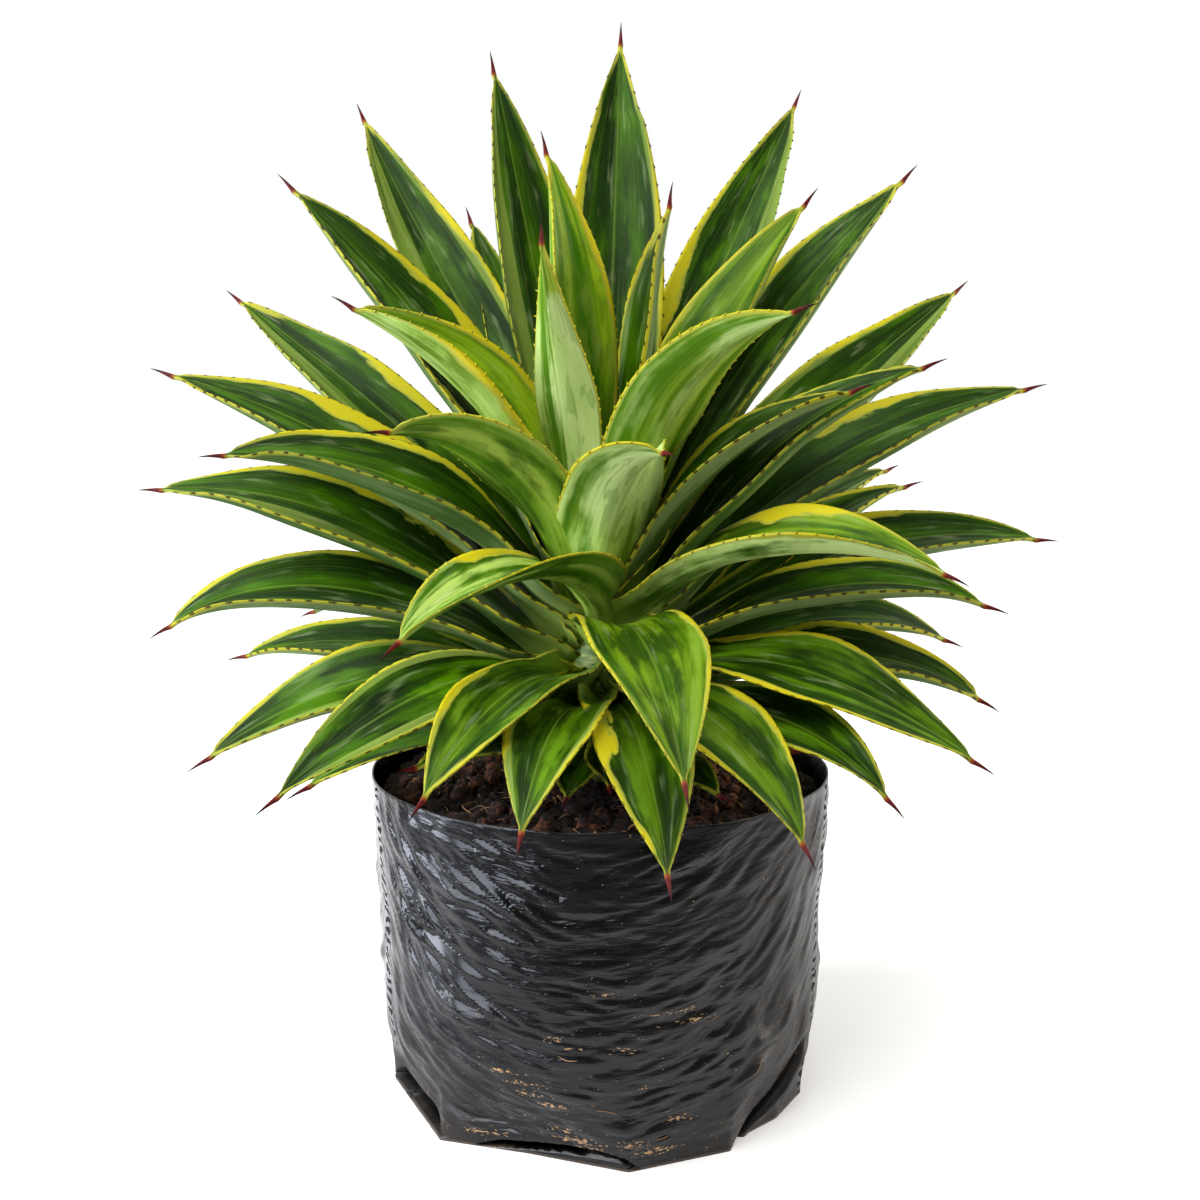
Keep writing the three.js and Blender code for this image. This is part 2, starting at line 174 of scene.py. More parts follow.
# What single leaves have of their own, where hand 1 is the side on the left for someone who
# looks from the stem to the tip, and -1 the other side. young: 0 to 1, brighter green with
# yellow teeth. pale: how milky each hand is. until: where the milky part ends. neck: how broad the base is. curl: hand, degrees
# and where across the half blade the margin starts to turn up. patches: wide yellow stretches
# of a margin, each (hand, from, to, width in mm).
TRAITS = {
    3: {"neck": 0.9},
    4: {"neck": 0.95, "patches": [(1, 0.3, 0.7, 9), (-1, 0.3, 0.8, 6)]},
    5: {"neck": 0.95, "patches": [(-1, 0.35, 0.75, 6)]},
    6: {"young": 0.9, "pale": {1: 0.15, -1: 0.0}, "mottle": 0.5},
    7: {"young": 0.85, "pale": {1: 3.4, -1: 0.6}, "until": 0.72, "neck": 0.8, "mottle": 0.3},
    10: {"patches": [(1, 0.15, 0.7, 8), (-1, 0.2, 0.7, 7)]},
    11: {"young": 0.35},
    12: {"neck": 0.95, "patches": [(1, 0.2, 0.7, 6)]},
    13: {"neck": 0.95},
    15: {"patches": [(1, 0.5, 0.77, 7)]},
    18: {"patches": [(1, 0.5, 0.75, 4)]},
    19: {"young": 1.0, "pale": {1: 0.15, -1: 0.4}, "neck": 0.8, "mottle": 0.35},
    20: {"young": 0.75, "pale": {1: 0.25, -1: 0.0}, "mottle": 0.6},
    21: {"young": 0.85, "pale": {1: 0.1, -1: 0.0}, "neck": 0.74, "mottle": 0.9},
    22: {"curl": (1, 74, 0.46), "patches": [(-1, 0.3, 0.65, 4)]},
    23: {"patches": [(-1, 0.48, 0.74, 8)]},
    24: {"patches": [(-1, 0.2, 0.6, 8)]},
    29: {"young": 0.8, "pale": {1: 0.3, -1: 0.3}, "neck": 0.8, "mottle": 1.0, "patches": [(-1, 0.3, 0.65, 6)]},
    30: {"young": 0.2, "neck": 0.85, "patches": [(-1, 0.35, 0.7, 4.5)]},
    31: {"young": 0.1, "neck": 0.85, "patches": [(-1, 0.4, 0.7, 4)]},
    32: {"young": 0.12, "neck": 0.85,
         "patches": [(-1, 0.2, 0.6, 10), (-1, 0.76, 0.88, 5)]},
    33: {"young": 0.3, "neck": 0.85, "patches": [(1, 0.3, 0.6, 4.5), (-1, 0.1, 0.4, 3)]},
    34: {"young": 0.2, "patches": [(1, 0.35, 0.75, 5), (-1, 0.2, 0.5, 5)]},
    35: {"young": 0.05},
    36: {"young": 0.1, "patches": [(1, 0.2, 0.6, 4.5), (-1, 0.1, 0.5, 4)]},
    40: {"young": 0.4, "pale": {1: 0.0, -1: 0.7}, "curl": (-1, 80, 0.5), "patches": [(1, 0.42, 0.7, 8)], "mottle": 0.9},
    41: {"young": 0.9, "pale": {1: 0.6, -1: 0.9}, "mottle": 0.5, "neck": 1.0, "patches": [(-1, 0.2, 0.9, 5)]},
}

Leaf = namedtuple("Leaf", "azimuth reach tip_height root_height rise fall width roll sweep fold")
Section = namedtuple("Section", "s centre along side lift fold half")

# ---- the grow bag and its soil, in mm ------------------------------------------------------

BAG_RIM = 113.0
BAG_FOOT = 106.0
BAG_HEIGHT = 164.0
BAG_ROUND = 9.0
BAG_FLARE = 0.6                 # below 1, the side opens out mostly near the foot
BAG_SQUARENESS = 0.012
FILM = 0.9
HEM = 13.0                      # the smooth band below the rim
BAG_COLUMNS = 400
BAG_SIDE_ROWS = 190
# the folded foot is a polygon: the azimuth and the radius of its corners, all the way round
FOOT_CORNERS = [(-175, 106), (-135, 107.5), (-111, 95), (-83, 107.5), (-55, 106), (-44, 99),
                (-32, 101.5), (-14, 104.5), (30, 107), (72, 107), (112, 107), (152, 107),
                (185, 106)]
FOOT_BLENDS_BY = 42.0           # height at which the side is round again
FOLD_ROOM = 30.0                # the room that the folds take up inside the foot
# coir fibres on the film: azimuth, height, length, tilt in degrees and bow
STUCK_FIBRES = [(-91, 31, 21, -22, -2.0), (-50, 37, 10, 35, 1.0), (-49, 118, 12, 14, -1.5),
                (-36, 24, 13, 48, 1.5), (-100, 58, 9, -8, 1.0), (-76, 14, 8, 12, 0.8),
                (-122, 21, 10, -15, 1.2), (-64, 70, 7, 5, 0.6)]
# patches of coir dust in the creases: azimuth, height, length and breadth
DUST = [(-114, 46, 22, 3), (-109, 41, 26, 3), (-108, 36, 22, 3), (-102, 31, 20, 3),
        (-99, 17, 18, 3), (-96, 12, 26, 4), (-92, 8, 20, 3), (-101, 66, 14, 3), (-97, 62, 10, 2),
        (-124, 8, 30, 3), (-72, 77, 34, 2.5), (-67, 72, 22, 3), (-85, 62, 10, 3),
        (-81, 60, 8, 2), (-79, 42, 6, 3), (-70, 23, 18, 3), (-82, 13, 12, 4), (-76, 8, 24, 4),
        (-57, 50, 8, 3), (-88, 88, 16, 2), (100, 30, 40, 4), (60, 14, 50, 5), (150, 20, 40, 5)]
# Flat pleats in the film, long and pointed: azimuth, height, length, breadth and how steeply
# they run down to the right, in degrees.
PLEATS = [(-128, 98, 46, 6.5, 21), (-122, 83, 36, 6.5, 31), (-134, 90, 30, 4.5, 34),
          (-116, 136, 30, 4.5, 36), (-126, 153, 28, 3.5, 10), (-109, 68, 26, 3.5, 13),
          (-123, 34, 33, 4.5, 28), (-104, 136, 24, 3, 16), (-116, 153, 18, 3, 25),
          (-107, 53, 24, 3, 15), (-131, 60, 26, 4, 25), (-113, 74, 22, 3, 24),
          (-112, 112, 20, 2.6, 18), (-99, 88, 18, 2.4, 6), (-118, 60, 22, 3, 20)]
PLEAT_LEAN = 0.4                # how far a pleat leans back, as a part of its breadth
SEAMS = [-15.0, -162.0]         # azimuths of the two welded side seams
SEAM_RISE = 46.0                # how far the creases climb at the seams
SEAM_REACH = 45.0               # and how far from the seams they start to
SOIL_DROP = 11.0
SOIL_CROWN = 6.0
SOIL_COLUMNS = 320
SOIL_ROWS = 80
CRUMBS = 700
FIBRES = 260

# ---- small helpers -----------------------------------------------------------------------


def smooth(t):
    x = min(max(t, 0.0), 1.0)
    return x * x * (3 - 2 * x)


def mix(a, b, t):
    return a + (b - a) * t


def direction(azimuth, slope):
    a = math.radians(azimuth)
    e = math.radians(slope)
    return Vector((math.cos(a) * math.cos(e), math.sin(a) * math.cos(e), math.sin(e)))


def linear(code):
    """An sRGB hex value as a linear colour."""
    parts = [int(code[i:i + 2], 16) / 255 for i in (1, 3, 5)]
    return [c / 12.92 if c <= 0.04045 else ((c + 0.055) / 1.055) ** 2.4 for c in parts] + [1.0]


def add(tree, kind, settings=None, inputs=None, output=0):
    """Adds a node with its settings. Each input is a value or another node's output."""
    node = tree.nodes.new("ShaderNode" + kind)
    for name, value in (settings or {}).items():
        setattr(node, name, value)
    for name, value in (inputs or {}).items():
        if isinstance(value, bpy.types.NodeSocket):
            tree.links.new(value, node.inputs[name])
        else:
            node.inputs[name].default_value = value
    return node.outputs[output]


def new_material(name):
    material = bpy.data.materials.new(name)
    material.use_nodes = True
    material.node_tree.nodes.clear()
    return material, material.node_tree


def finish_piece(bm, name, material, nodes=()):
    """Makes a bmesh, in mm, a smooth piece that rides on the plant's one body."""
    bmesh.ops.scale(bm, vec=(MM, MM, MM), verts=bm.verts)
    for face in bm.faces:
        face.smooth = True
    mesh = bpy.data.meshes.new(name)
    bm.to_mesh(mesh)
    bm.free()
    piece = bpy.data.objects.new(name, mesh)
    bpy.context.scene.collection.objects.link(piece)
    mesh.materials.append(material)
    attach(piece, "root")
    if nodes:
        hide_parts(*nodes)
    return piece


def wrapped_grid(bm, columns, rows, place):
    """A grid bent into a closed skin. place gives each vertex its point from its column and
    row, and may set the vertex's layers. Rows or columns that meet are merged."""
    made = bmesh.ops.create_grid(bm, x_segments=columns, y_segments=rows, size=1.0)["verts"]
    for vert in made:
        column = round((vert.co.x + 1) / 2 * columns)
        row = round((vert.co.y + 1) / 2 * rows)
        vert.co = place(vert, column, row)
    bmesh.ops.remove_doubles(bm, verts=made, dist=1e-4)


# ---- colour spaces of the patterns -------------------------------------------------------

COLOUR = {"data_type": "RGBA"}
SOFT_STEP = {"interpolation_type": "SMOOTHSTEP"}

# ---- leaf tissue -------------------------------------------------------------------------


def leaf_tissue():
    """Waxy agave leaf: dark green with long brushed streaks and soft streaks of painted sheen, a milky green zone
    beside the margins, bright yellow margins, a grey-green bloom underneath and a horny spine."""
    material, tree = new_material("waxy_agave_leaf")
    read = {}
    for name in LEAF_LAYERS:
        read[name] = add(tree, "Attribute", {"attribute_name": name}, None, "Fac")
    place = add(tree, "CombineXYZ", None, {0: read["across"], 1: read["along"], 2: read["draw"]})

    # veins of 1 by 100 mm, bands of 8 by 200 mm, clouds of 14 by 50 mm and soft streaks of painted sheen
    vein_place = add(tree, "VectorMath", {"operation": "MULTIPLY"}, {0: place, 1: (950, 10, 40)})
    vein = add(tree, "TexNoise", None, {"Vector": vein_place, "Scale": 1.0, "Detail": 2.0})
    band_place = add(tree, "VectorMath", {"operation": "MULTIPLY"}, {0: place, 1: (120, 5, 40)})
    bands = add(tree, "TexNoise", None, {"Vector": band_place, "Scale": 1.0, "Detail": 2.0,
                                         "Roughness": 0.5})
    cloud_place = add(tree, "VectorMath", {"operation": "MULTIPLY"}, {0: place, 1: (70, 20, 40)})
    cloud = add(tree, "TexNoise", None, {"Vector": cloud_place, "Scale": 1.0, "Detail": 4.0,
                                         "Roughness": 0.55})
    painted_sheen_place = add(tree, "VectorMath", {"operation": "MULTIPLY"}, {0: place, 1: (210, 36, 70)})
    painted_sheen = add(tree, "TexNoise", None, {"Vector": painted_sheen_place, "Scale": 1.0, "Detail": 2.0})
    bands_step = add(tree, "MapRange", SOFT_STEP, {"Value": bands, 1: 0.36, 2: 0.64})
    dark_cloud = add(tree, "MapRange", SOFT_STEP, {"Value": cloud, 1: 0.46, 2: 0.6, 4: 0.9})
    dark_cloud = add(tree, "Math", {"operation": "MULTIPLY"}, {0: dark_cloud, 1: read["mottle"]})
    light_cloud = add(tree, "MapRange", SOFT_STEP, {"Value": cloud, 1: 0.47, 2: 0.36, 4: 0.8})
    light_cloud = add(tree, "Math", {"operation": "MULTIPLY"}, {0: light_cloud, 1: read["mottle"]})
    light_vein = add(tree, "MapRange", SOFT_STEP, {"Value": vein, 1: 0.5, 2: 0.75, 4: 0.12})
    dark_vein = add(tree, "MapRange", SOFT_STEP, {"Value": vein, 1: 0.48, 2: 0.28, 4: 0.16})

    # upper face: dark green, brighter on young leaves
    old = add(tree, "Mix", COLOUR, {0: bands_step, 6: linear("#163200"), 7: linear("#365e00")}, 2)
    bright = add(tree, "Mix", COLOUR, {0: bands_step, 6: linear("#4a8406"), 7: linear("#b4d824")}, 2)
    upper = add(tree, "Mix", COLOUR, {0: read["young"], 6: old, 7: bright}, 2)
    sunny = add(tree, "Mix", COLOUR, {0: read["young"], 6: linear("#528402"), 7: linear("#b0bf4c")}, 2)
    upper = add(tree, "Mix", COLOUR, {0: light_cloud, 6: upper, 7: sunny}, 2)
    shade = add(tree, "Mix", COLOUR, {0: read["young"], 6: linear("#0a1e00"), 7: linear("#2e5a00")}, 2)
    upper = add(tree, "Mix", COLOUR, {0: dark_cloud, 6: upper, 7: shade}, 2)

    # the milky zone starts where the bands let it, between the middle and the margin
    wander = add(tree, "MapRange", None, {"Value": bands, 1: 0.3, 2: 0.7, 3: -0.2, 4: 0.2})
    zone = add(tree, "Math", {"operation": "SUBTRACT"}, {0: read["share"], 1: read["zone"]})
    zone = add(tree, "Math", {"operation": "ADD"}, {0: zone, 1: wander})
    zone = add(tree, "MapRange", SOFT_STEP, {"Value": zone, 1: -0.02, 2: 0.04, 4: 0.6})
    milky = add(tree, "Mix", COLOUR, {0: bands_step, 6: linear("#4f7010"), 7: linear("#93a84a")}, 2)
    upper = add(tree, "Mix", COLOUR, {0: zone, 6: upper, 7: milky}, 2)

    # underside
    under = add(tree, "Mix", COLOUR, {0: bands_step, 6: linear("#48682c"), 7: linear("#84985e")}, 2)
    light = add(tree, "Mix", COLOUR, {0: bands_step, 6: linear("#588a04"), 7: linear("#aecb34")}, 2)
    under = add(tree, "Mix", COLOUR, {0: read["young"], 6: under, 7: light}, 2)
    under = add(tree, "Mix", COLOUR, {0: dark_cloud, 6: under, 7: linear("#2c5002")}, 2)
    tissue = add(tree, "Mix", COLOUR, {0: read["under"], 6: upper, 7: under}, 2)

    # milky hands of the young leaves, streaked
    streak = add(tree, "Math", {"operation": "MULTIPLY_ADD"}, {0: cloud, 1: -1.2, 2: bands})
    streak = add(tree, "Math", {"operation": "MULTIPLY_ADD"}, {0: read["pale"], 1: 0.3, 2: streak})
    streak = add(tree, "MapRange", SOFT_STEP, {"Value": streak, 1: -0.14, 2: 0.1})
    milk = add(tree, "Math", {"operation": "MULTIPLY", "use_clamp": True}, {0: read["pale"], 1: 1.6})
    streak = add(tree, "Math", {"operation": "MULTIPLY"}, {0: streak, 1: milk})
    cream = add(tree, "Mix", COLOUR, {0: cloud, 6: linear("#e4f2ac"), 7: linear("#98c040")}, 2)
    tissue = add(tree, "Mix", COLOUR, {0: streak, 6: tissue, 7: cream}, 2)

    # sharp-edged darker blotches where the tissue is milky
    blot_place = add(tree, "VectorMath", {"operation": "MULTIPLY"}, {0: place, 1: (210, 50, 40)})
    blot = add(tree, "TexNoise", None, {"Vector": blot_place, "Scale": 1.0, "Detail": 2.0,
                                        "Distortion": 0.6})
    blot = add(tree, "MapRange", SOFT_STEP, {"Value": blot, 1: 0.54, 2: 0.61, 4: 0.4})
    blot = add(tree, "Math", {"operation": "MULTIPLY"}, {0: blot, 1: read["young"]})
    tissue = add(tree, "Mix", COLOUR, {0: blot, 6: tissue, 7: linear("#4c7c10")}, 2)

    # a fine light line along the midrib, veins, and painted sheen: pale smears where the wax would catch the light,
    # weaker on young leaves
    crest = add(tree, "MapRange", SOFT_STEP, {"Value": read["share"], 1: 0.05, 2: 0.0, 4: 0.4})
    tissue = add(tree, "Mix", COLOUR, {0: crest, 6: tissue, 7: linear("#7c9a34")}, 2)
    tissue = add(tree, "Mix", COLOUR, {0: light_vein, 6: tissue, 7: linear("#8ea430")}, 2)
    tissue = add(tree, "Mix", COLOUR, {0: dark_vein, 6: tissue, 7: linear("#132c00")}, 2)
    # painted sheen: pale grey-green streaks that stand in for glints on the wax
    painted_sheen = add(tree, "MapRange", SOFT_STEP, {"Value": painted_sheen, 1: 0.56, 2: 0.74, 4: 0.3})
    waxy = add(tree, "Math", {"operation": "MULTIPLY_ADD"}, {0: read["young"], 1: -0.7, 2: 1.0})
    painted_sheen = add(tree, "Math", {"operation": "MULTIPLY"}, {0: painted_sheen, 1: waxy})
    tissue = add(tree, "Mix", COLOUR, {0: painted_sheen, 6: tissue, 7: linear("#a2b47c")}, 2)

    # the base fades to the pale tissue that the light never reached
    base = add(tree, "MapRange", SOFT_STEP, {"Value": read["place"], 1: 0.16, 2: 0.0, 4: 0.75})
    tissue = add(tree, "Mix", COLOUR, {0: base, 6: tissue, 7: linear("#a0b848")}, 2)

    # yellow margins, their inner edge ragged along the bands
    ragged = add(tree, "MapRange", None, {"Value": cloud, 1: 0.35, 2: 0.65, 3: 0.4, 4: 1.5})
    band = add(tree, "Math", {"operation": "MULTIPLY"}, {0: read["band"], 1: ragged})
    inside = add(tree, "Math", {"operation": "SUBTRACT"}, {0: band, 1: read["edge"]})
    yellow = add(tree, "MapRange", SOFT_STEP, {"Value": inside, 1: -0.0006, 2: 0.0006})
    depth = add(tree, "MapRange", SOFT_STEP, {"Value": inside, 1: 0.0, 2: 0.0026})
    margin = add(tree, "Mix", COLOUR, {0: depth, 6: linear("#a6aa3c"), 7: linear("#cfc21c")}, 2)
    tissue = add(tree, "Mix", COLOUR, {0: yellow, 6: tissue, 7: margin}, 2)

    # a dark dash, 3.6 by 1.1 mm, at the foot of each tooth, partly the tooth's brown horn and partly its painted shadow
    # on the margin: beat is whole at a tooth
    beat = add(tree, "Math", {"operation": "PINGPONG"}, {0: read["beat"], 1: 0.5})
    beat = add(tree, "Math", {"operation": "MULTIPLY"}, {0: beat, 1: TOOTH_SPACING * MM / 2.6})
    spot = add(tree, "CombineXYZ", None, {0: beat, 1: read["edge"]})
    spot = add(tree, "VectorMath", {"operation": "LENGTH"}, {0: spot}, "Value")
    spot = add(tree, "MapRange", SOFT_STEP, {"Value": spot, 1: 0.00065, 2: 0.00035})
    horn_and_shadow = add(tree, "Math", {"operation": "MAXIMUM"}, {0: spot, 1: read["tooth"]})
    aged = add(tree, "MapRange", None, {"Value": read["young"], 1: 0.0, 2: 0.5, 3: 0.85, 4: 0.0})
    horn_and_shadow = add(tree, "Math", {"operation": "MULTIPLY"}, {0: horn_and_shadow, 1: aged})
    tissue = add(tree, "Mix", COLOUR, {0: horn_and_shadow, 6: tissue, 7: linear("#3b2a0a")}, 2)

    # the spine: orange where it leaves the blade, then dark red, then nearly black
    ember = add(tree, "MapRange", SOFT_STEP, {"Value": read["spine"], 1: -0.2, 2: -0.02})
    tissue = add(tree, "Mix", COLOUR, {0: ember, 6: tissue, 7: linear("#94441a")}, 2)
    red = add(tree, "MapRange", SOFT_STEP, {"Value": read["spine"], 1: -0.06, 2: 0.1})
    tissue = add(tree, "Mix", COLOUR, {0: red, 6: tissue, 7: linear("#601814")}, 2)
    black = add(tree, "MapRange", SOFT_STEP, {"Value": read["spine"], 1: 0.3, 2: 0.9})
    tissue = add(tree, "Mix", COLOUR, {0: black, 6: tissue, 7: linear("#180c0e")}, 2)

    gloss = add(tree, "MapRange", None, {"Value": cloud, 1: 0.3, 2: 0.7, 3: 0.3, 4: 0.46})
    bloom = add(tree, "Math", {"operation": "MULTIPLY"}, {0: read["under"], 1: 0.16})
    gloss = add(tree, "Math", {"operation": "ADD"}, {0: gloss, 1: bloom})
    height = add(tree, "Math", {"operation": "MULTIPLY_ADD"}, {0: bands, 1: 2.0, 2: vein})
    bump = add(tree, "Bump", None, {"Strength": 0.5, "Distance": 0.0004, "Height": height})
    surface = add(tree, "BsdfPrincipled", None, {
        "Base Color": tissue, "Roughness": gloss, "IOR": 1.18, "Normal": bump})
    add_output(tree, surface)
    return material


def add_output(tree, surface):
    output = tree.nodes.new("ShaderNodeOutputMaterial")
    tree.links.new(surface, output.inputs["Surface"])


# ---- leaves ------------------------------------------------------------------------------

# What each vertex of a leaf carries for its pattern, lengths in metres: how far it is from the
# midrib where the leaf is widest, along the leaf and from the margin, its part of the half width, the leaf's random
# draw, its place from root to tip and along the spine, the width of the yellow margin, where the milky zone
# starts, whether it is underneath or on a tooth, how young the leaf is, the teeth's beat and
# how milky this hand of the leaf is, and how strong its clouds are.
LEAF_LAYERS = ["across", "along", "edge", "share", "draw", "place", "spine", "band", "zone",
               "under", "tooth", "young", "beat", "pale", "mottle"]


def stem_radius(z):
    share = (z - STEM_TAPERS_FROM) / (STEM_TOP - STEM_TAPERS_FROM)
    return mix(STEM_RADIUS, STEM_TIP_RADIUS, smooth(share))


def half_width(s, width, neck, spine_at, taper):
    half = width / 2
    if s < NECK_AT:
        return half * neck * mix(ROOT_FLARE, 1, smooth(s / NECK_AT))
    if s < WIDE_AT:
        return half * mix(neck, 1, smooth((s - NECK_AT) / (WIDE_AT - NECK_AT)))
    t = (s - WIDE_AT) / (spine_at - WIDE_AT)
    return max(half * (1 - min(t, 1) ** taper), SPINE_RADIUS)


def rib_thickness(s):
    if s < WIDE_AT:
        return mix(RIB_AT_ROOT, RIB_AT_MIDDLE, smooth(s / WIDE_AT))
    return mix(RIB_AT_MIDDLE, RIB_AT_TIP, (s - WIDE_AT) / (1 - WIDE_AT))


def midrib(leaf):
    """The four points of the curve that the leaf's midrib follows."""
    root_azimuth = leaf.azimuth + leaf.sweep
    root = direction(root_azimuth, 0) * (stem_radius(leaf.root_height) + ROOT_CLEAR)
    root.z = leaf.root_height
    tip = direction(leaf.azimuth, 0) * leaf.reach
    tip.z = leaf.tip_height
    chord = (tip - root).length
    return [root, root + direction(root_azimuth, leaf.rise) * ARC_BASE * chord,
            tip - direction(leaf.azimuth, leaf.fall) * ARC_TIP * chord, tip]


def section(leaf, curve, s, neck, spine_at):
    a, b, c, d = curve
    r = 1 - s
    centre = a * r ** 3 + b * 3 * r * r * s + c * 3 * r * s * s + d * s ** 3
    along = (b - a) * 3 * r * r + (c - b) * 6 * r * s + (d - c) * 3 * s * s
    along.normalize()
    level = direction(leaf.azimuth + leaf.sweep * r + 90, 0)
    side = (level - along * level.dot(along)).normalized()
    frontward = 1 if math.cos(math.radians(leaf.azimuth)) >= 0 else -1
    turn = math.radians(leaf.roll * frontward) * smooth(s / TURNED_AT)
    lift = along.cross(side)
    side, lift = side * math.cos(turn) + lift * math.sin(turn), lift * math.cos(turn) - side * math.sin(turn)
    fold = leaf.fold * (1 - OPENING * math.sin(math.pi * s))
    fold = math.radians(mix(CLASP, fold, smooth(s / CLASP_TO)))
    frontness = 0.1 - math.sin(math.radians(leaf.azimuth))
    taper = mix(TAPER, FRONT_TAPER, smooth(frontness / 0.45))
    half = half_width(s, leaf.width, neck, spine_at, taper)
    return Section(s, centre, along, side, lift, fold, half)


def half_profile(at, hand, curl):
    """Across one half of the blade: how far out and how far up each place of ACROSS is."""
    turn, start = 0.0, CURL_FROM
    if curl and curl[0] == hand:
        turn, start = math.radians(curl[1]), curl[2]
        turn *= smooth((at.s - 0.08) / 0.25) * (1 - smooth((at.s - 0.84) / 0.11))
    out, up = 0.0, 0.0
    places = [(0.0, 0.0)]
    for near, far in zip(ACROSS, ACROSS[1:]):
        middle = (near + far) / 2
        slope = at.fold * min(middle / GROOVE_SHARE, 1.0) + turn * smooth((middle - start) / 0.24)
        out += (far - near) * math.cos(slope)
        up += (far - near) * math.sin(slope)
        places.append((out, up))
    widen = NEAR_HALF if turn > 0.1 else 1.0
    return [(one * at.half * widen, two * at.half * widen) for one, two in places]


def blade_point(at, hand, step, profiles, under, wave):
    """A point of the blade, at one of the places across the half on the given hand."""
    share = ACROSS[step]
    out, up = profiles[hand][step]
    drop = mix(rib_thickness(at.s), EDGE, share ** 1.25) if under else 0.0
    point = at.centre + at.side * out * hand
    return point + at.lift * (up - drop + EDGE / 2 + wave * share * share)


def spine_point(at, turn, spine_at):
    t = min(max((at.s - spine_at) / (1 - spine_at), 0), 1)
    radius = mix(SPINE_RADIUS, SPINE_POINT, t ** 0.85)
    angle = 2 * math.pi * turn
    sunk = at.centre - at.lift * radius * (1 - t)
    return sunk + at.side * radius * math.cos(angle) + at.lift * radius * math.sin(angle)


def yellow_width(number, hand, s, slim, patches):
    """How wide the yellow margin is, in mm. slim makes the plain stretches narrower."""
    draw = noise.noise(Vector((number * 7.3, hand * 3.1, s * 3.0)))
    width = slim * (2.6 + 2.8 * draw) * (0.5 + 0.8 * math.sin(math.pi * min(s / 0.93, 1)) ** 0.8)
    for side, start, end, wide in patches:
        if side == hand:
            rise = smooth((s - start) / 0.08) * smooth((end - s) / 0.08)
            width = mix(width, wide, rise)
    return width


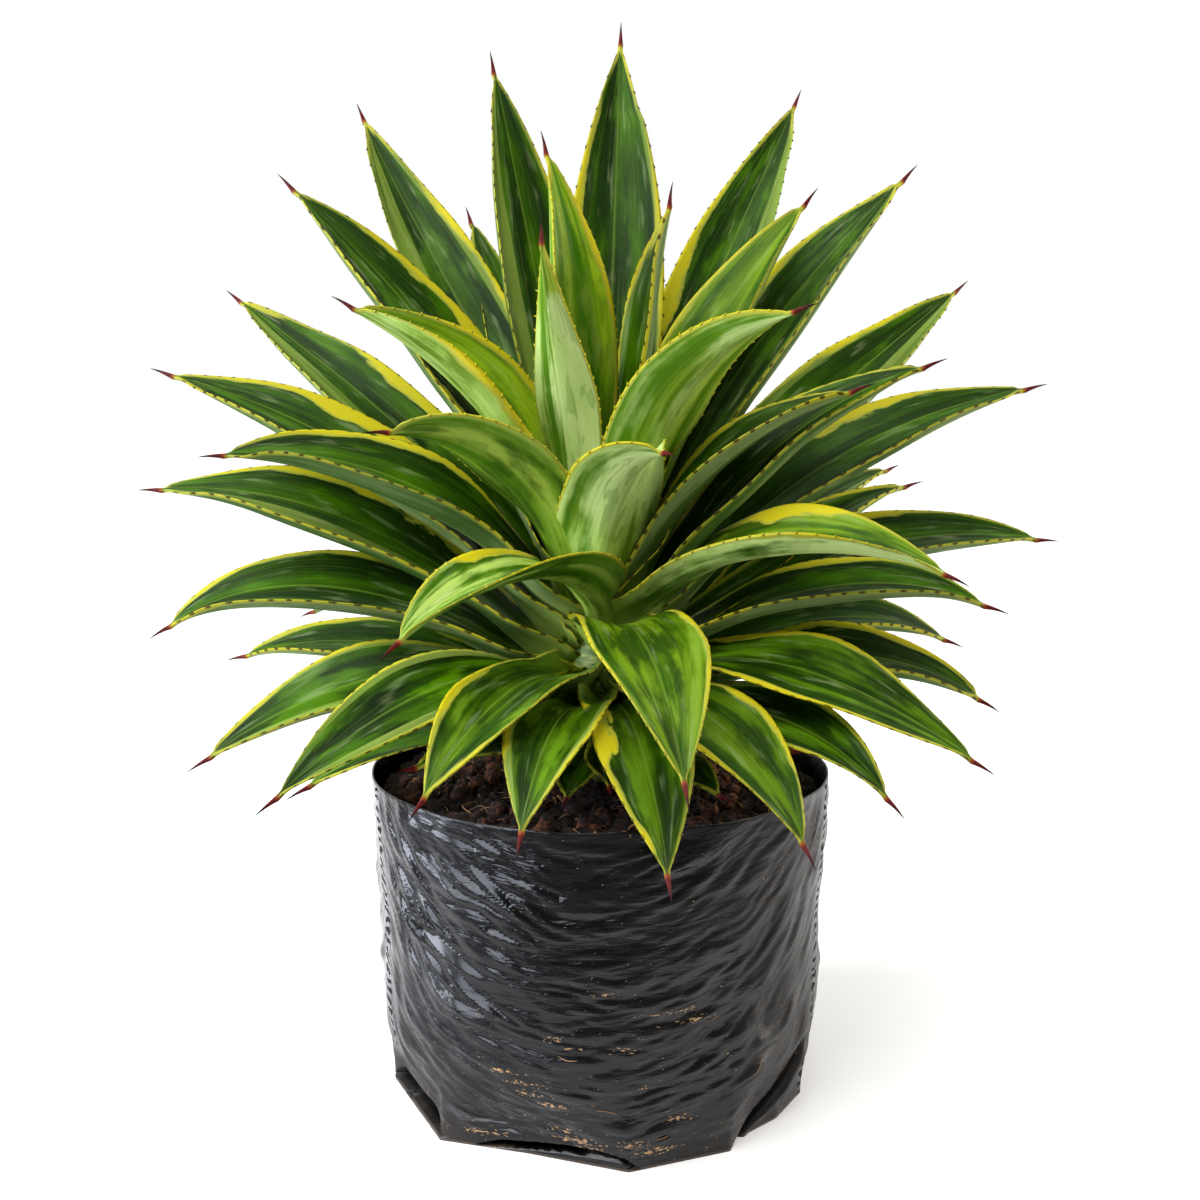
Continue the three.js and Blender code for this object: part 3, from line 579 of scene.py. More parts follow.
def make_leaf(number, row, material):
    leaf = Leaf(*row)
    draw = random.Random(number)
    traits = TRAITS.get(number, {})
    young = traits.get("young", 0.0)
    pale = traits.get("pale", {1: 0.0, -1: 0.0})
    neck = traits.get("neck", NECK)
    patches = traits.get("patches", ())
    until = traits.get("until", 1.0)
    sideways = math.cos(math.radians(leaf.azimuth))
    frontness = max(-math.sin(math.radians(leaf.azimuth)) - 0.05, 0)
    turn_up = CURL * smooth(abs(sideways) / 0.6) * (1 - smooth(frontness / 0.45))
    curl = traits.get("curl", (-1 if sideways >= 0 else 1, turn_up, CURL_FROM))
    mottle = traits.get("mottle", mix(0.5, 1.0, smooth(frontness / 0.4)))
    slim = mix(1.0, 0.62, smooth(frontness / 0.45))
    curve = midrib(leaf)
    phase = [draw.uniform(0, 6.28) for _ in range(3)]
    ripple = mix(0.6, 1.2, draw.random())
    zones = {hand: draw.uniform(0.75, 1.0) for hand in (1, -1)}
    # a side leaf's near half, whose margin turns up, gets a wider milky zone: partly the leaf's own pale variegation,
    # partly painted sheen where that half faces the light
    zones[curl[0]] = mix(zones[curl[0]], draw.uniform(0.3, 0.65), smooth(turn_up / 50))
    zones = {hand: mix(zone, 1.3, young) for hand, zone in zones.items()}
    spacing = mix(draw.uniform(0.9, 1.4) * TOOTH_SPACING, YOUNG_TOOTH_SPACING, young)

    plain = SPANS - SPINE_SPANS
    chord = (curve[3] - curve[0]).length * 1.08
    spine_at = 1 - SPINE_LENGTH / chord
    merges_at = spine_at - SPINE_MERGES / chord
    places = [merges_at * i / plain for i in range(plain)]
    places += [mix(merges_at, 1, i / SPINE_SPANS) for i in range(SPINE_SPANS + 1)]
    sections = [section(leaf, curve, s, neck, spine_at) for s in places]
    profiles = [{hand: half_profile(at, hand, curl) for hand in (1, -1)} for at in sections]
    lengths = [0.0]
    for one, two in zip(sections, sections[1:]):
        lengths.append(lengths[-1] + (two.centre - one.centre).length)
    beats = [(length + 1.5 * math.sin(length / 9 + phase[0])) / spacing for length in lengths]

    last = len(ACROSS) - 1
    left = [(1, step) for step in range(last, 0, -1)]
    right = [(-1, step) for step in range(last + 1)]
    upper_face = [(hand, step, 0.0) for hand, step in left + right]
    loop = upper_face + [(hand, step, 1.0) for hand, step, _ in reversed(upper_face)]
    columns = len(loop)

    bm = bmesh.new()
    layers = {name: bm.verts.layers.float.new(name) for name in LEAF_LAYERS}

    def wave(hand, length):
        return ripple * math.sin(length / 13 + phase[1 if hand > 0 else 2])

    def carry(vert, index, hand, step, under, tooth):
        at = sections[index]
        half = at.half * MM
        share = ACROSS[step]
        width = 0.9 if under else yellow_width(number, hand, at.s, slim, patches)
        values = {
            "across": hand * share * leaf.width / 2 * MM, "along": lengths[index] * MM,
            "edge": (1 - share) * half, "share": share, "draw": number * 1.0,
            "place": at.s, "spine": (at.s - spine_at) / (1 - spine_at), "zone": zones[hand], "under": under, "tooth": tooth, "young": young,
            "beat": beats[index], "band": width * MM,
            "pale": (pale[hand] * mix(0.4, 1.0, smooth((at.s - 0.3) / 0.25))
                     * (1 - smooth((at.s - until) / 0.12))), "mottle": mottle,
        }
        for name, value in values.items():
            vert[layers[name]] = value

    def place(vert, column, index):
        at = sections[index]
        hand, step, under = loop[column % columns]
        carry(vert, index, hand, step, under, 0.0)
        point = blade_point(at, hand, step, profiles[index], under, wave(hand, lengths[index]))
        round_share = smooth((at.s - merges_at) / (spine_at - merges_at))
        if round_share > 0:
            turn = (column % columns + 0.5) / columns
            point = point.lerp(spine_point(at, turn, spine_at), round_share)
        return point

    wrapped_grid(bm, columns, SPANS, place)
    open_edges = [edge for edge in bm.edges if edge.is_boundary]
    bmesh.ops.holes_fill(bm, edges=open_edges)

    # small hooked teeth along both margins, one at each whole beat
    height = mix(TOOTH_HEIGHT, YOUNG_TOOTH_HEIGHT, young)
    for index in range(2, plain - 1):
        whole = math.ceil(beats[index])
        if not beats[index] < whole <= beats[index + 1]:
            continue
        share = (whole - beats[index]) / (beats[index + 1] - beats[index])
        for hand in (1, -1):
            if hand != curl[0] and draw.random() > mix(0.45, 1, young):
                continue
            ends = [blade_point(sections[i], hand, last, profiles[i], 0.0, wave(hand, lengths[i]))
                    - sections[i].lift * EDGE / 2 for i in (index, index + 1)]
            inner = blade_point(sections[index], hand, last - 1, profiles[index], 0.0,
                                wave(hand, lengths[index]))
            foot = ends[0].lerp(ends[1], share)
            lean = (foot - inner).normalized() + sections[index].along * 0.5
            lean.normalize()
            matrix = lean.to_track_quat("Z", "Y").to_matrix().to_4x4()
            matrix.translation = foot + lean * height * 0.3
            made = bmesh.ops.create_cone(bm, cap_ends=True, segments=5, radius1=TOOTH_RADIUS,
                                         radius2=0.0, depth=height, matrix=matrix)["verts"]
            for vert in made:
                carry(vert, index, hand, last, 0.0, 1.0)
    return finish_piece(bm, f"agave_{frame_name(number)}", material, [frame_name(number)])


def frame_name(number):
    return f"leaf_{number:02d}"


# ---- the stem ----------------------------------------------------------------------------


def make_stem():
    material, tree = new_material("pale_agave_stem")
    place = add(tree, "TexCoord", None, None, "Object")
    rings = add(tree, "VectorMath", {"operation": "MULTIPLY"}, {0: place, 1: (120, 120, 400)})
    grain = add(tree, "TexNoise", None, {"Vector": rings, "Scale": 1.0, "Detail": 3.0})
    step = add(tree, "MapRange", SOFT_STEP, {"Value": grain, 1: 0.35, 2: 0.7})
    colour = add(tree, "Mix", COLOUR, {0: step, 6: linear("#5c7a20"), 7: linear("#b4c462")}, 2)
    bump = add(tree, "Bump", None, {"Strength": 0.6, "Distance": 0.0006, "Height": grain})
    add_output(tree, add(tree, "BsdfPrincipled", None, {
        "Base Color": colour, "Roughness": 0.5, "IOR": 1.4, "Normal": bump}))

    foot = soil_height(0) - STEM_ROOT_DEPTH
    columns, rows = 64, 60

    def point(vert, column, row):
        angle = 2 * math.pi * (column % columns) / columns
        if row == 0:
            return Vector((0, 0, foot))
        if row == rows:
            return Vector((0, 0, STEM_TOP))
        z = mix(foot, STEM_TOP - 1, (row - 1) / (rows - 2))
        scar = 0.5 * math.sin(z * 1.1 + 3 * angle) * math.sin(5 * angle - z * 0.2)
        radius = stem_radius(z) + scar
        return Vector((radius * math.cos(angle), radius * math.sin(angle), z))

    bm = bmesh.new()
    wrapped_grid(bm, columns, rows, point)
    finish_piece(bm, "stem_core", material, ["stem"])


# ---- the bag -----------------------------------------------------------------------------


def side_radius(z):
    share = (z - BAG_ROUND) / (BAG_HEIGHT - BAG_ROUND)
    return mix(BAG_FOOT, BAG_RIM, max(share, 0) ** BAG_FLARE)


def foot_radius(angle):
    """The foot's folded outline: straight between its corners."""
    degrees = math.degrees(angle)
    while degrees < FOOT_CORNERS[0][0]:
        degrees += 360
    while degrees >= FOOT_CORNERS[-1][0]:
        degrees -= 360
    for (low, near), (high, far) in zip(FOOT_CORNERS, FOOT_CORNERS[1:]):
        if low <= degrees < high:
            one = direction(low, 0) * near
            two = direction(high, 0) * far
            out = direction(degrees, 0)
            return one.cross(two - one).z / out.cross(two - one).z
    return FOOT_CORNERS[0][1]


def seam_distance(angle):
    """How far round the bag the nearest side seam is, in mm."""
    gaps = [(math.degrees(angle) - seam + 180) % 360 - 180 for seam in SEAMS]
    return math.radians(min(gaps, key=abs)) * BAG_RIM


def crease_level(angle, z):
    """The height that a crease through this point has far from the seams."""
    x, y = BAG_RIM * math.cos(angle), BAG_RIM * math.sin(angle)
    climb = SEAM_RISE * math.exp(-abs(seam_distance(angle)) / SEAM_REACH)
    waver = 4.0 * noise.noise(Vector((x / 36, y / 36, z / 30)))
    return z - climb + waver


def crease(angle, z):
    """How far the creased film stands out from the plain tube, in mm. The film bulges between
    sharp valleys, which lie level and climb at the seams."""
    x, y = BAG_RIM * math.cos(angle), BAG_RIM * math.sin(angle)
    level = crease_level(angle, z)
    near_seam = math.exp(-abs(seam_distance(angle)) / SEAM_REACH)
    beside = smooth(abs(seam_distance(angle)) / 22)
    calm = mix(0.12, 1.0, smooth((BAG_HEIGHT - z) / HEM))
    lively = 1.0 + 0.8 * noise.noise(Vector((x / 52, y / 52, z / 34 + 2)))
    dent = 3.4 * noise.noise(Vector((x / 64, y / 64, z / 50 + 4)))
    stretch = mix(1.0, 1.9, near_seam)
    broad = abs(noise.noise(Vector((x / 44, y / 44, level / 16 + 5)))) - 0.2
    wide = abs(noise.noise(Vector((x / 26, y / 26, level / 6.5) ) / stretch)) - 0.2
    fine = abs(noise.noise(Vector((x / 15, y / 15, level / 3.4 + 9)) / stretch)) - 0.2
    folds = mix(2.6, 4.0, near_seam) * broad + mix(1.9, 4.4, near_seam) * wide + 1.1 * fine
    folds *= mix(0.4, 1.0, smooth(-math.sin(angle) / 0.35))
    pleat, flat = pleated(angle, z)
    return calm * (dent + lively * mix(0.15, 1.0, beside) * (1 - 0.85 * flat) * folds) + pleat


def pleated(angle, z):
    """How far the flat pleats stand out, in mm, and 1 inside one of them, 0 away from them."""
    out = flat = 0.0
    for azimuth, height, length, breadth, slope in PLEATS:
        aside = ((math.degrees(angle) - azimuth + 180) % 360 - 180) / 360 * math.tau * BAG_FOOT
        if abs(aside) > length or abs(z - height) > length:
            continue
        tilt = math.radians(slope)
        along = aside * math.cos(tilt) - (z - height) * math.sin(tilt)
        across = aside * math.sin(tilt) + (z - height) * math.cos(tilt)
        reach = max(1 - (2 * along / length) ** 2, 0)
        wide = breadth * reach ** 0.6
        if wide < 0.3:
            continue
        lean = min(max(0.5 - across / wide, 0), 1)
        out += PLEAT_LEAN * wide * lean * smooth((across + wide / 2 + 1.2) / 1.2)
        flat = max(flat, smooth((wide / 2 + 1.5 - abs(across)) / 1.5) * smooth(reach * 3))
    return out, flat


def foot_recess(angle, z):
    """How far the folded film is drawn in at the foot, in mm: above the bottom edge in front,
    under the fold on the left and along the slanting fold on the right."""
    degrees = (math.degrees(angle) + 180) % 360 - 180
    lip = 4.2 * smooth((degrees + 130) / 38) * smooth((-80 - degrees) / 4)
    gap = 3.4 * smooth((degrees + 127) / 10) * smooth((-78 - degrees) / 16)
    recess = 19 * smooth((z - lip) / 0.5) * (1 - smooth((z - lip - gap) / 0.8)) * smooth(gap)
    slot = 7.0 * smooth((degrees + 176) / 6) * smooth((-134 - degrees) / 6)
    recess += 14 * smooth((z - 1.6) / 0.6) * (1 - smooth((z - 1.6 - slot) / 0.8)) * smooth(slot)
    beside = smooth((degrees + 176) / 8) * smooth((-132 - degrees) / 8)
    recess += 3.0 * beside * smooth((z - 1.2) / 0.8) * (1 - smooth((z - 8) / 26))
    off = math.radians(degrees - mix(-54, -29, z / 32)) * BAG_FOOT
    above = 1 - smooth((z - 24) / 14)
    valley = 13 * smooth(off / 1.6) * (1 - smooth((off - 5) / 9)) * above
    bulge = 4.0 * math.exp(-((off - 17) / 6) ** 2) * smooth(z / 12) * above
    return recess + valley - bulge


def bag_point(angle, z, inset):
    radius = side_radius(z) * (1 + BAG_SQUARENESS * math.cos(2 * angle) ** 2)
    radius = mix(foot_radius(angle), radius, smooth(z / FOOT_BLENDS_BY))
    radius += crease(angle, z) * smooth((z - 3) / 12) - foot_recess(angle, z) - inset
    return Vector((radius * math.cos(angle), radius * math.sin(angle), z))


def inner_point(angle, z, inset):
    """Inside the film, clear of the folds at its foot."""
    return bag_point(angle, z, inset + FOLD_ROOM * smooth((48 - z) / 16))


def make_bag():
    """The film: outside up to the rim, over it, and down inside to the floor."""
    rim_rows = 3
    inside_rows = 24
    floor_rows = 6
    rows = floor_rows + BAG_SIDE_ROWS + rim_rows + inside_rows + floor_rows

    def place(vert, column, row):
        angle = 2 * math.pi * (column % BAG_COLUMNS) / BAG_COLUMNS
        if row <= floor_rows:
            edge = bag_point(angle, 0.0, 0.0)
            return edge * (row / floor_rows)
        row -= floor_rows
        lip = 1.5 * noise.noise(Vector((math.cos(angle) * 2.2, math.sin(angle) * 2.2, 7)))
        top = BAG_HEIGHT + lip - 1.0
        if row <= BAG_SIDE_ROWS:
            return bag_point(angle, top * (row / BAG_SIDE_ROWS) ** 1.2, 0.0)
        row -= BAG_SIDE_ROWS
        if row < rim_rows:
            turn = math.pi * row / rim_rows
            point = bag_point(angle, top, FILM / 2 * (1 - math.cos(turn)))
            point.z += FILM / 2 * math.sin(turn)
            return point
        row -= rim_rows
        if row <= inside_rows:
            return inner_point(angle, mix(top, FILM, row / inside_rows), FILM)
        row -= inside_rows
        edge = inner_point(angle, FILM, FILM)
        edge.xy *= 1 - row / floor_rows
        return edge

    bm = bmesh.new()
    seam = bm.verts.layers.float.new("seam")
    level = bm.verts.layers.float.new("level")
    shaded_hollow = bm.verts.layers.float.new("shaded_hollow")
    dusty = bm.verts.layers.float.new("dusty")
    pleat = bm.verts.layers.float.new("pleat")
    wrapped_grid(bm, BAG_COLUMNS, rows, place)
    for vert in bm.verts:
        angle = math.atan2(vert.co.y, vert.co.x)
        vert[seam] = abs(seam_distance(angle)) * MM
        vert[level] = crease_level(angle, vert.co.z) * MM
        vert[shaded_hollow] = foot_recess(angle, vert.co.z) * MM
        vert[dusty] = dustiness(angle, vert.co.z)
        vert[pleat] = pleated(angle, vert.co.z)[1]
    bmesh.ops.recalc_face_normals(bm, faces=bm.faces)
    finish_piece(bm, "film_bag", polythene_film(), ["grow_bag"])
    make_stuck_fibres()


def dustiness(angle, z):
    """1 in the middle of a patch of dust, 0 away from all of them."""
    most = 0.0
    for azimuth, height, length, breadth in DUST:
        along = ((math.degrees(angle) - azimuth + 180) % 360 - 180) / 360 * math.tau * BAG_FOOT
        most = max(most, math.exp(-(2 * along / length) ** 2 - (2 * (z - height) / breadth) ** 2))
    return most


def make_stuck_fibres():
    """Coir fibres that cling to the outside of the film."""
    bm = bmesh.new()
    for azimuth, z, length, tilt, bow in STUCK_FIBRES:
        start = math.radians(azimuth)

        def point(vert, column, row):
            t = row / 10
            angle = start + t * length * math.cos(math.radians(tilt)) / BAG_FOOT
            level = z + t * length * math.sin(math.radians(tilt)) - bow * math.sin(math.pi * t)
            width = 0.15 * math.sin(math.pi * mix(0.05, 0.95, t)) ** 0.5
            turn = math.pi / 2 * column
            return bag_point(angle, level + width * math.sin(turn), -0.3 - width * math.cos(turn))

        wrapped_grid(bm, 4, 10, point)
    finish_piece(bm, "stuck_fibres", fibre_matter())


def polythene_film():
    """Thin blown polythene, black: glossy, creased, with coir dust caught in its folds, and painted shade: black in its
    pinholes and in the deep folds of its foot.
    """
    material, tree = new_material("black_polythene_film")
    place = add(tree, "TexCoord", None, None, "Object")
    seam = add(tree, "Attribute", {"attribute_name": "seam"}, None, "Fac")
    level = add(tree, "Attribute", {"attribute_name": "level"}, None, "Fac")
    height = add(tree, "SeparateXYZ", None, {0: place}, "Z")
    side = add(tree, "SeparateXYZ", None, {0: place}, "X")
    front = add(tree, "SeparateXYZ", None, {0: place}, "Y")
    along = add(tree, "CombineXYZ", None, {0: side, 1: front, 2: level})

    # wrinkles follow the creases: 20 by 3 mm, and scratches of 10 by 0.8 mm
    wrinkle_place = add(tree, "VectorMath", {"operation": "MULTIPLY"}, {0: along, 1: (60, 60, 270)})
    wrinkle = add(tree, "TexNoise", None, {"Vector": wrinkle_place, "Scale": 1.0, "Detail": 3.0,
                                           "Roughness": 0.5, "Distortion": 0.4})
    scratch_place = add(tree, "VectorMath", {"operation": "MULTIPLY"}, {0: along, 1: (100, 100, 1200)})
    scratch = add(tree, "TexNoise", None, {"Vector": scratch_place, "Scale": 1.0, "Detail": 2.0})
    area = add(tree, "TexNoise", None, {"Vector": place, "Scale": 22.0, "Detail": 2.0})
    scuffed = add(tree, "MapRange", SOFT_STEP, {"Value": side, 1: 0.0, 2: 0.09})

    # a row of wide pinholes, 5 mm apart, along the paler strip of each welded seam, painted black as the shade inside
    # the bag seen through them
    wander = add(tree, "TexNoise", None, {"Vector": place, "Scale": 120.0, "Detail": 1.0})
    wander = add(tree, "MapRange", None, {"Value": wander, 1: 0.3, 2: 0.7, 3: -0.002, 4: 0.002})
    row = add(tree, "Math", {"operation": "ADD"}, {0: seam, 1: wander})
    weld = add(tree, "MapRange", SOFT_STEP, {"Value": row, 1: 0.0045, 2: 0.003, 4: 0.8})
    row = add(tree, "Math", {"operation": "MULTIPLY_ADD"}, {0: row, 1: 0.45, 2: -0.0007})
    step = add(tree, "Math", {"operation": "ADD"}, {0: height, 1: wander})
    step = add(tree, "Math", {"operation": "PINGPONG"}, {0: step, 1: 0.0026})
    spot = add(tree, "CombineXYZ", None, {0: row, 1: step})
    spot = add(tree, "VectorMath", {"operation": "LENGTH"}, {0: spot}, "Value")
    hole = add(tree, "MapRange", SOFT_STEP, {"Value": spot, 1: 0.0016, 2: 0.0012})

    # dust: tan flecks along the creases, most of them low on the bag
    fleck_place = add(tree, "VectorMath", {"operation": "MULTIPLY"}, {0: along, 1: (420, 420, 1500)})
    fleck = add(tree, "TexNoise", None, {"Vector": fleck_place, "Scale": 1.0, "Detail": 2.0})
    patch = add(tree, "TexNoise", None, {"Vector": along, "Scale": 45.0, "Detail": 4.0,
                                         "Roughness": 0.65})
    dusty = add(tree, "Attribute", {"attribute_name": "dusty"}, None, "Fac")
    low = add(tree, "MapRange", SOFT_STEP, {"Value": height, 1: 0.06, 2: 0.0})
    dust = add(tree, "Math", {"operation": "MULTIPLY_ADD"}, {0: dusty, 1: 0.22, 2: fleck})
    dust = add(tree, "Math", {"operation": "MULTIPLY_ADD"}, {0: low, 1: 0.02, 2: dust})
    dust = add(tree, "MapRange", SOFT_STEP, {"Value": dust, 1: 0.725, 2: 0.775})
    left = add(tree, "MapRange", SOFT_STEP, {"Value": side, 1: -0.05, 2: -0.08, 3: 0.12, 4: 0.7})
    haze = add(tree, "Math", {"operation": "MULTIPLY"}, {0: low, 1: left})
    haze = add(tree, "Math", {"operation": "MULTIPLY_ADD"}, {0: scuffed, 1: 0.12, 2: haze})
    haze = add(tree, "Math", {"operation": "MULTIPLY"}, {0: haze, 1: patch})
    # painted shade: where the film is drawn in deeply at the foot, it is painted black
    shaded_hollow = add(tree, "Attribute", {"attribute_name": "shaded_hollow"}, None, "Fac")
    shaded_hollow = add(tree, "MapRange", SOFT_STEP, {"Value": shaded_hollow, 1: 0.0035, 2: 0.006})
    edge = add(tree, "MapRange", SOFT_STEP, {"Value": height, 1: 0.0016, 2: 0.0008, 4: 0.6})

    tint = add(tree, "Mix", COLOUR, {0: area, 6: linear("#030304"), 7: linear("#08090c")}, 2)
    tint = add(tree, "Mix", COLOUR, {0: haze, 6: tint, 7: linear("#3d3228")}, 2)
    tint = add(tree, "Mix", COLOUR, {0: weld, 6: tint, 7: linear("#4a4a4e")}, 2)
    # painted shade: the pinholes are painted black
    tint = add(tree, "Mix", COLOUR, {0: hole, 6: tint, 7: linear("#000000")}, 2)
    tint = add(tree, "Mix", COLOUR, {0: edge, 6: tint, 7: linear("#5c4e40")}, 2)
    tint = add(tree, "Mix", COLOUR, {0: dust, 6: tint, 7: linear("#b8946a")}, 2)
    tint = add(tree, "Mix", COLOUR, {0: shaded_hollow, 6: tint, 7: linear("#000000")}, 2)
    rough = add(tree, "MapRange", None, {"Value": area, 1: 0.35, 2: 0.65, 3: 0.1, 4: 0.22})
    rough = add(tree, "Math", {"operation": "MULTIPLY_ADD"}, {0: scuffed, 1: 0.14, 2: rough})
    rough = add(tree, "Math", {"operation": "ADD"}, {0: rough, 1: haze})
    matt = add(tree, "Math", {"operation": "MAXIMUM"}, {0: hole, 1: dust})
    rough = add(tree, "Math", {"operation": "MAXIMUM"}, {0: rough, 1: matt})
    relief = add(tree, "Math", {"operation": "MULTIPLY_ADD"}, {0: scratch, 1: 0.12, 2: wrinkle})
    lively = add(tree, "MapRange", SOFT_STEP, {"Value": seam, 1: 0.08, 2: 0.0, 3: 1.0, 4: 0.6})
    relief = add(tree, "Math", {"operation": "MULTIPLY"}, {0: relief, 1: lively})
    pleat = add(tree, "Attribute", {"attribute_name": "pleat"}, None, "Fac")
    stretched = add(tree, "MapRange", None, {"Value": pleat, 3: 1.0, 4: 0.2})
    relief = add(tree, "Math", {"operation": "MULTIPLY"}, {0: relief, 1: stretched})
    relief = add(tree, "Math", {"operation": "MULTIPLY_ADD"}, {0: hole, 1: -0.8, 2: relief})
    bump = add(tree, "Bump", None, {"Strength": 0.7, "Distance": 0.0012, "Height": relief})
    add_output(tree, add(tree, "BsdfPrincipled", None, {
        "Base Color": tint, "Roughness": rough, "IOR": 1.5, "Specular IOR Level": 0.32,
        "Normal": bump}))
    return material


# ---- the soil ----------------------------------------------------------------------------


def soil_height(radius):
    rim = BAG_HEIGHT - SOIL_DROP
    return rim + SOIL_CROWN * (1 - smooth(radius / BAG_RIM))


def make_soil():
    """Damp coir: the body that fills the bag, with crumbs and fibres on its top."""
    material, tree = new_material("damp_coir")
    place = add(tree, "TexCoord", None, None, "Object")
    crumb = add(tree, "TexNoise", None, {"Vector": place, "Scale": 260.0, "Detail": 6.0,
                                         "Roughness": 0.65})
    clod = add(tree, "TexVoronoi", None, {"Vector": place, "Scale": 150.0}, "Distance")
    step = add(tree, "MapRange", SOFT_STEP, {"Value": crumb, 1: 0.4, 2: 0.72})
    colour = add(tree, "Mix", COLOUR, {0: step, 6: linear("#0b0503"), 7: linear("#4c2814")}, 2)
    relief = add(tree, "Math", {"operation": "SUBTRACT"}, {0: crumb, 1: clod})
    bump = add(tree, "Bump", None, {"Strength": 1.0, "Distance": 0.002, "Height": relief})
    add_output(tree, add(tree, "BsdfPrincipled", None, {
        "Base Color": colour, "Roughness": 0.95, "IOR": 1.45, "Normal": bump}))

    top_rows = SOIL_ROWS - 8
    wall = FILM + 3.2
    hole = STEM_RADIUS + 0.3

    def place_soil(vert, column, row):
        angle = 2 * math.pi * (column % SOIL_COLUMNS) / SOIL_COLUMNS
        if row == 0:
            return Vector((0, 0, wall))
        if row <= 8:
            z = mix(wall, BAG_HEIGHT - SOIL_DROP - 4, (row - 1) / 7)
            return inner_point(angle, z, wall)
        row -= 9
        if row <= top_rows:
            outer = side_radius(BAG_HEIGHT - SOIL_DROP) - wall
            radius = mix(outer, hole, (row / top_rows) ** 0.8)
            x, y = radius * math.cos(angle), radius * math.sin(angle)
            lumps = noise.noise(Vector((x / 15, y / 15, 0))) * 4.0
            lumps += abs(noise.noise(Vector((x / 6, y / 6, 3)))) * 5.0
            lumps += noise.noise(Vector((x / 2.4, y / 2.4, 5))) * 1.6
            return Vector((x, y, soil_height(radius) + lumps))
        bottom = soil_height(0) - STEM_ROOT_DEPTH - 0.3
        if row == top_rows + 1:
            return Vector((hole * math.cos(angle), hole * math.sin(angle), bottom))
        return Vector((0, 0, bottom))

    bm = bmesh.new()
    wrapped_grid(bm, SOIL_COLUMNS, top_rows + 11, place_soil)
    bmesh.ops.recalc_face_normals(bm, faces=bm.faces)
    finish_piece(bm, "coir_soil", material, ["soil"])
    make_crumbs()
    make_fibres()


def make_crumbs():
    material, tree = new_material("coir_crumbs")
    place = add(tree, "TexCoord", None, None, "Object")
    grain = add(tree, "TexNoise", None, {"Vector": place, "Scale": 420.0, "Detail": 4.0})
    step = add(tree, "MapRange", SOFT_STEP, {"Value": grain, 1: 0.38, 2: 0.68})
    colour = add(tree, "Mix", COLOUR, {0: step, 6: linear("#180b06"), 7: linear("#78421f")}, 2)
    bump = add(tree, "Bump", None, {"Strength": 1.0, "Distance": 0.0012, "Height": grain})
    add_output(tree, add(tree, "BsdfPrincipled", None, {
        "Base Color": colour, "Roughness": 0.95, "IOR": 1.45, "Normal": bump}))

    draw = random.Random(11)
    bm = bmesh.new()
    for i in range(CRUMBS):
        size = draw.uniform(0.8, 2.2) if i % 7 else draw.uniform(2.6, 5.6)
        angle = draw.uniform(0, 2 * math.pi)
        radius = math.sqrt(draw.uniform(0.08, 1)) * (BAG_RIM - 9 - size)
        made = bmesh.ops.create_icosphere(bm, subdivisions=1 if i % 7 else 2, radius=size)["verts"]
        z = soil_height(radius) + size * 0.35
        spot = Vector((radius * math.cos(angle), radius * math.sin(angle), z))
        for vert in made:
            rough = 1 + 0.55 * noise.noise(vert.co * (1.6 / size) + Vector((i * 3.1, 0, 0)))
            vert.co = vert.co * rough + spot
    finish_piece(bm, "coir_crumbs", material)


def fibre_matter():
    material, tree = new_material("coir_fibres")
    place = add(tree, "TexCoord", None, None, "Object")
    grain = add(tree, "TexNoise", None, {"Vector": place, "Scale": 60.0, "Detail": 2.0})
    step = add(tree, "MapRange", SOFT_STEP, {"Value": grain, 1: 0.42, 2: 0.6})
    colour = add(tree, "Mix", COLOUR, {0: step, 6: linear("#4f3019"), 7: linear("#b98b5c")}, 2)
    add_output(tree, add(tree, "BsdfPrincipled", None, {
        "Base Color": colour, "Roughness": 0.8, "IOR": 1.45}))
    return material


def make_fibres():
    draw = random.Random(23)
    bm = bmesh.new()
    for i in range(FIBRES):
        angle = draw.uniform(0, 2 * math.pi)
        radius = math.sqrt(draw.uniform(0.1, 1)) * (BAG_RIM - 14)
        start = Vector((radius * math.cos(angle), radius * math.sin(angle), 0))
        heading = direction(draw.uniform(0, 360), 0) * draw.uniform(5, 17)
        bend = Vector((-heading.y, heading.x, 0)) * draw.uniform(-0.4, 0.4)
        hump = draw.uniform(0.5, 3.0)
        thick = draw.uniform(0.16, 0.42)
        if i % 5 == 0:
            heading, thick = heading * 0.45, thick * 2.4

        def point(vert, column, row):
            t = row / 8
            spot = start + heading * t + bend * math.sin(math.pi * t)
            reach = math.hypot(spot.x, spot.y)
            spot *= min(1, (BAG_RIM - 8) / max(reach, 1))
            spot.z = soil_height(reach) + 1.2 + hump * math.sin(math.pi * t)
            angle_round = 2 * math.pi * (column % 4) / 4
            across = Vector((-heading.y, heading.x, 0)).normalized()
            width = thick * (0.02 if row in (0, 8) else 1)
            return spot + across * width * math.cos(angle_round) + Vector((0, 0, width * math.sin(angle_round)))

        wrapped_grid(bm, 4, 8, point)
    finish_piece(bm, "coir_fibres", fibre_matter())


# ---- stage -------------------------------------------------------------------------------


def make_camera():
    data = bpy.data.cameras.new("camera")
    data.lens = LENS
    data.sensor_width = SENSOR
    camera = bpy.data.objects.new("camera", data)
    camera.location = CAMERA_PLACE
    camera.rotation_euler = (math.radians(90 - CAMERA_DOWN), 0, 0)
    bpy.context.scene.collection.objects.link(camera)
    bpy.context.scene.camera = camera


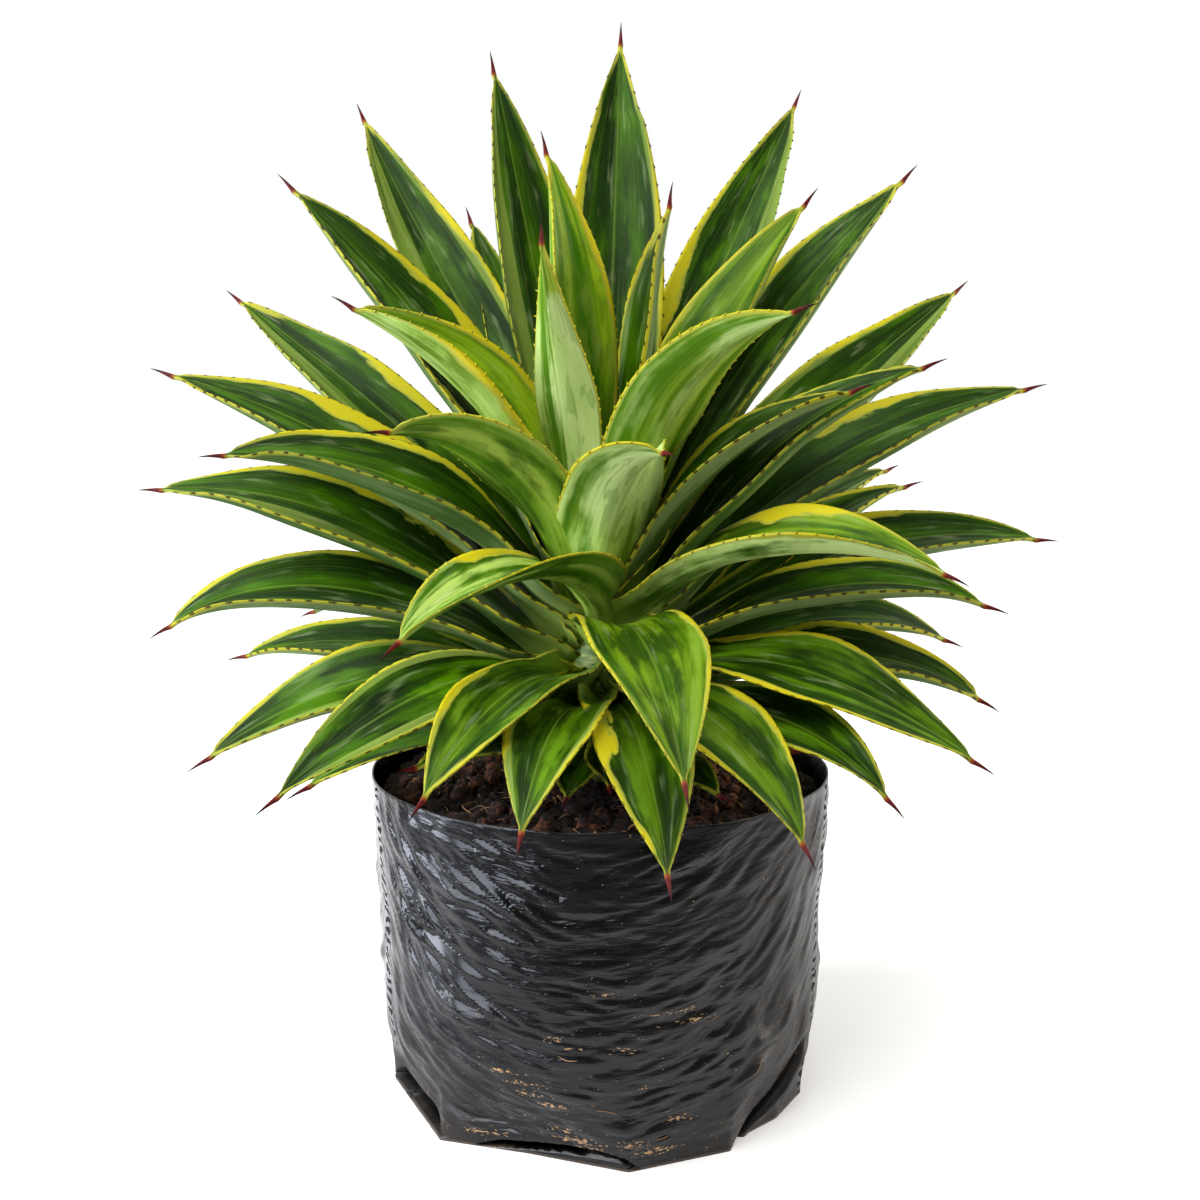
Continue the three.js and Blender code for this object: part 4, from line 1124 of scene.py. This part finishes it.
def softbox(name, place, size, power, colour, only_gloss=False):
    """A lamp that faces the plant's middle. One for gloss only shows as a reflection."""
    data = bpy.data.lights.new(name, "AREA")
    data.shape = "RECTANGLE"
    data.size, data.size_y = size
    data.energy = power
    data.color = linear(colour)[:3]
    lamp = bpy.data.objects.new(name, data)
    lamp.location = place
    lamp.visible_diffuse = not only_gloss
    towards = Vector((0, 0, PLANT_MIDDLE)) - Vector(place)
    lamp.rotation_euler = towards.to_track_quat("-Z", "Y").to_euler()
    bpy.context.scene.collection.objects.link(lamp)


def make_studio():
    """A white backdrop behind the plant, a darker room in front, soft light from the upper
    left, a softbox on each side and white paper on the floor, which ends before the camera."""
    world = bpy.data.worlds.new("studio")
    world.use_nodes = True
    tree = world.node_tree
    heading = add(tree, "TexCoord", None, None, "Generated")
    depth = add(tree, "SeparateXYZ", None, {0: heading}, "Y")
    glow = add(tree, "MapRange", SOFT_STEP, {"Value": depth, 1: -0.15, 2: 0.5, 3: 0.2, 4: 1.0})
    background = tree.nodes["Background"]
    background.inputs["Color"].default_value = (1, 1, 1, 1)
    tree.links.new(glow, background.inputs["Strength"])
    bpy.context.scene.world = world
    bpy.context.scene.view_settings.view_transform = "Standard"

    data = bpy.data.lights.new("soft_sky", "SUN")
    data.energy = 2.8
    data.angle = math.radians(50)
    sky = bpy.data.objects.new("soft_sky", data)
    sky.rotation_euler = Vector((-0.42, -0.4, 1)).to_track_quat("Z", "Y").to_euler()
    bpy.context.scene.collection.objects.link(sky)
    softbox("left_softbox", (-1.3, -0.2, 0.6), (0.4, 1.1), 24, "#eaf0ff")
    softbox("left_reflector", (-0.95, -0.95, 0.6), (0.8, 1.1), 24, "#eaf0ff", True)
    softbox("right_softbox", (1.3, 0.2, 0.6), (0.4, 1.1), 14, "#fff6ec")

    bm = bmesh.new()
    bmesh.ops.create_grid(bm, x_segments=1, y_segments=1, size=8.0)
    mesh = bpy.data.meshes.new("floor")
    bm.to_mesh(mesh)
    bm.free()
    floor = bpy.data.objects.new("floor", mesh)
    bpy.context.scene.collection.objects.link(floor)
    material, tree = new_material("white_paper_sweep")
    place = add(tree, "TexCoord", None, None, "Object")
    depth = add(tree, "SeparateXYZ", None, {0: place}, "Y")
    aside = add(tree, "SeparateXYZ", None, {0: place}, "X")
    aside = add(tree, "Math", {"operation": "ABSOLUTE"}, {0: aside})
    off = add(tree, "Math", {"operation": "MULTIPLY_ADD"}, {0: depth, 1: -1.6, 2: aside})
    near = add(tree, "Math", {"operation": "MULTIPLY_ADD"}, {0: depth, 1: -3.0, 2: -0.15})
    off = add(tree, "Math", {"operation": "MAXIMUM"}, {0: off, 1: near})
    paper = add(tree, "MapRange", SOFT_STEP, {"Value": off, 1: 0.45, 2: 0.7, 3: 0.85, 4: 0.3})
    glow = add(tree, "MapRange", SOFT_STEP, {"Value": off, 1: 0.45, 2: 0.7, 3: 0.22, 4: 0.0})
    add_output(tree, add(tree, "BsdfPrincipled", None, {
        "Base Color": paper, "Roughness": 1.0, "Specular IOR Level": 0.0,
        "Emission Color": (1, 1, 1, 1), "Emission Strength": glow}))
    mesh.materials.append(material)


# ---- the whole ---------------------------------------------------------------------------


def main():
    make_camera()
    make_studio()
    make_bag()
    make_soil()
    make_stem()
    tissue = leaf_tissue()
    for number, row in enumerate(LEAVES, 1):
        make_leaf(number, row, tissue)


main()
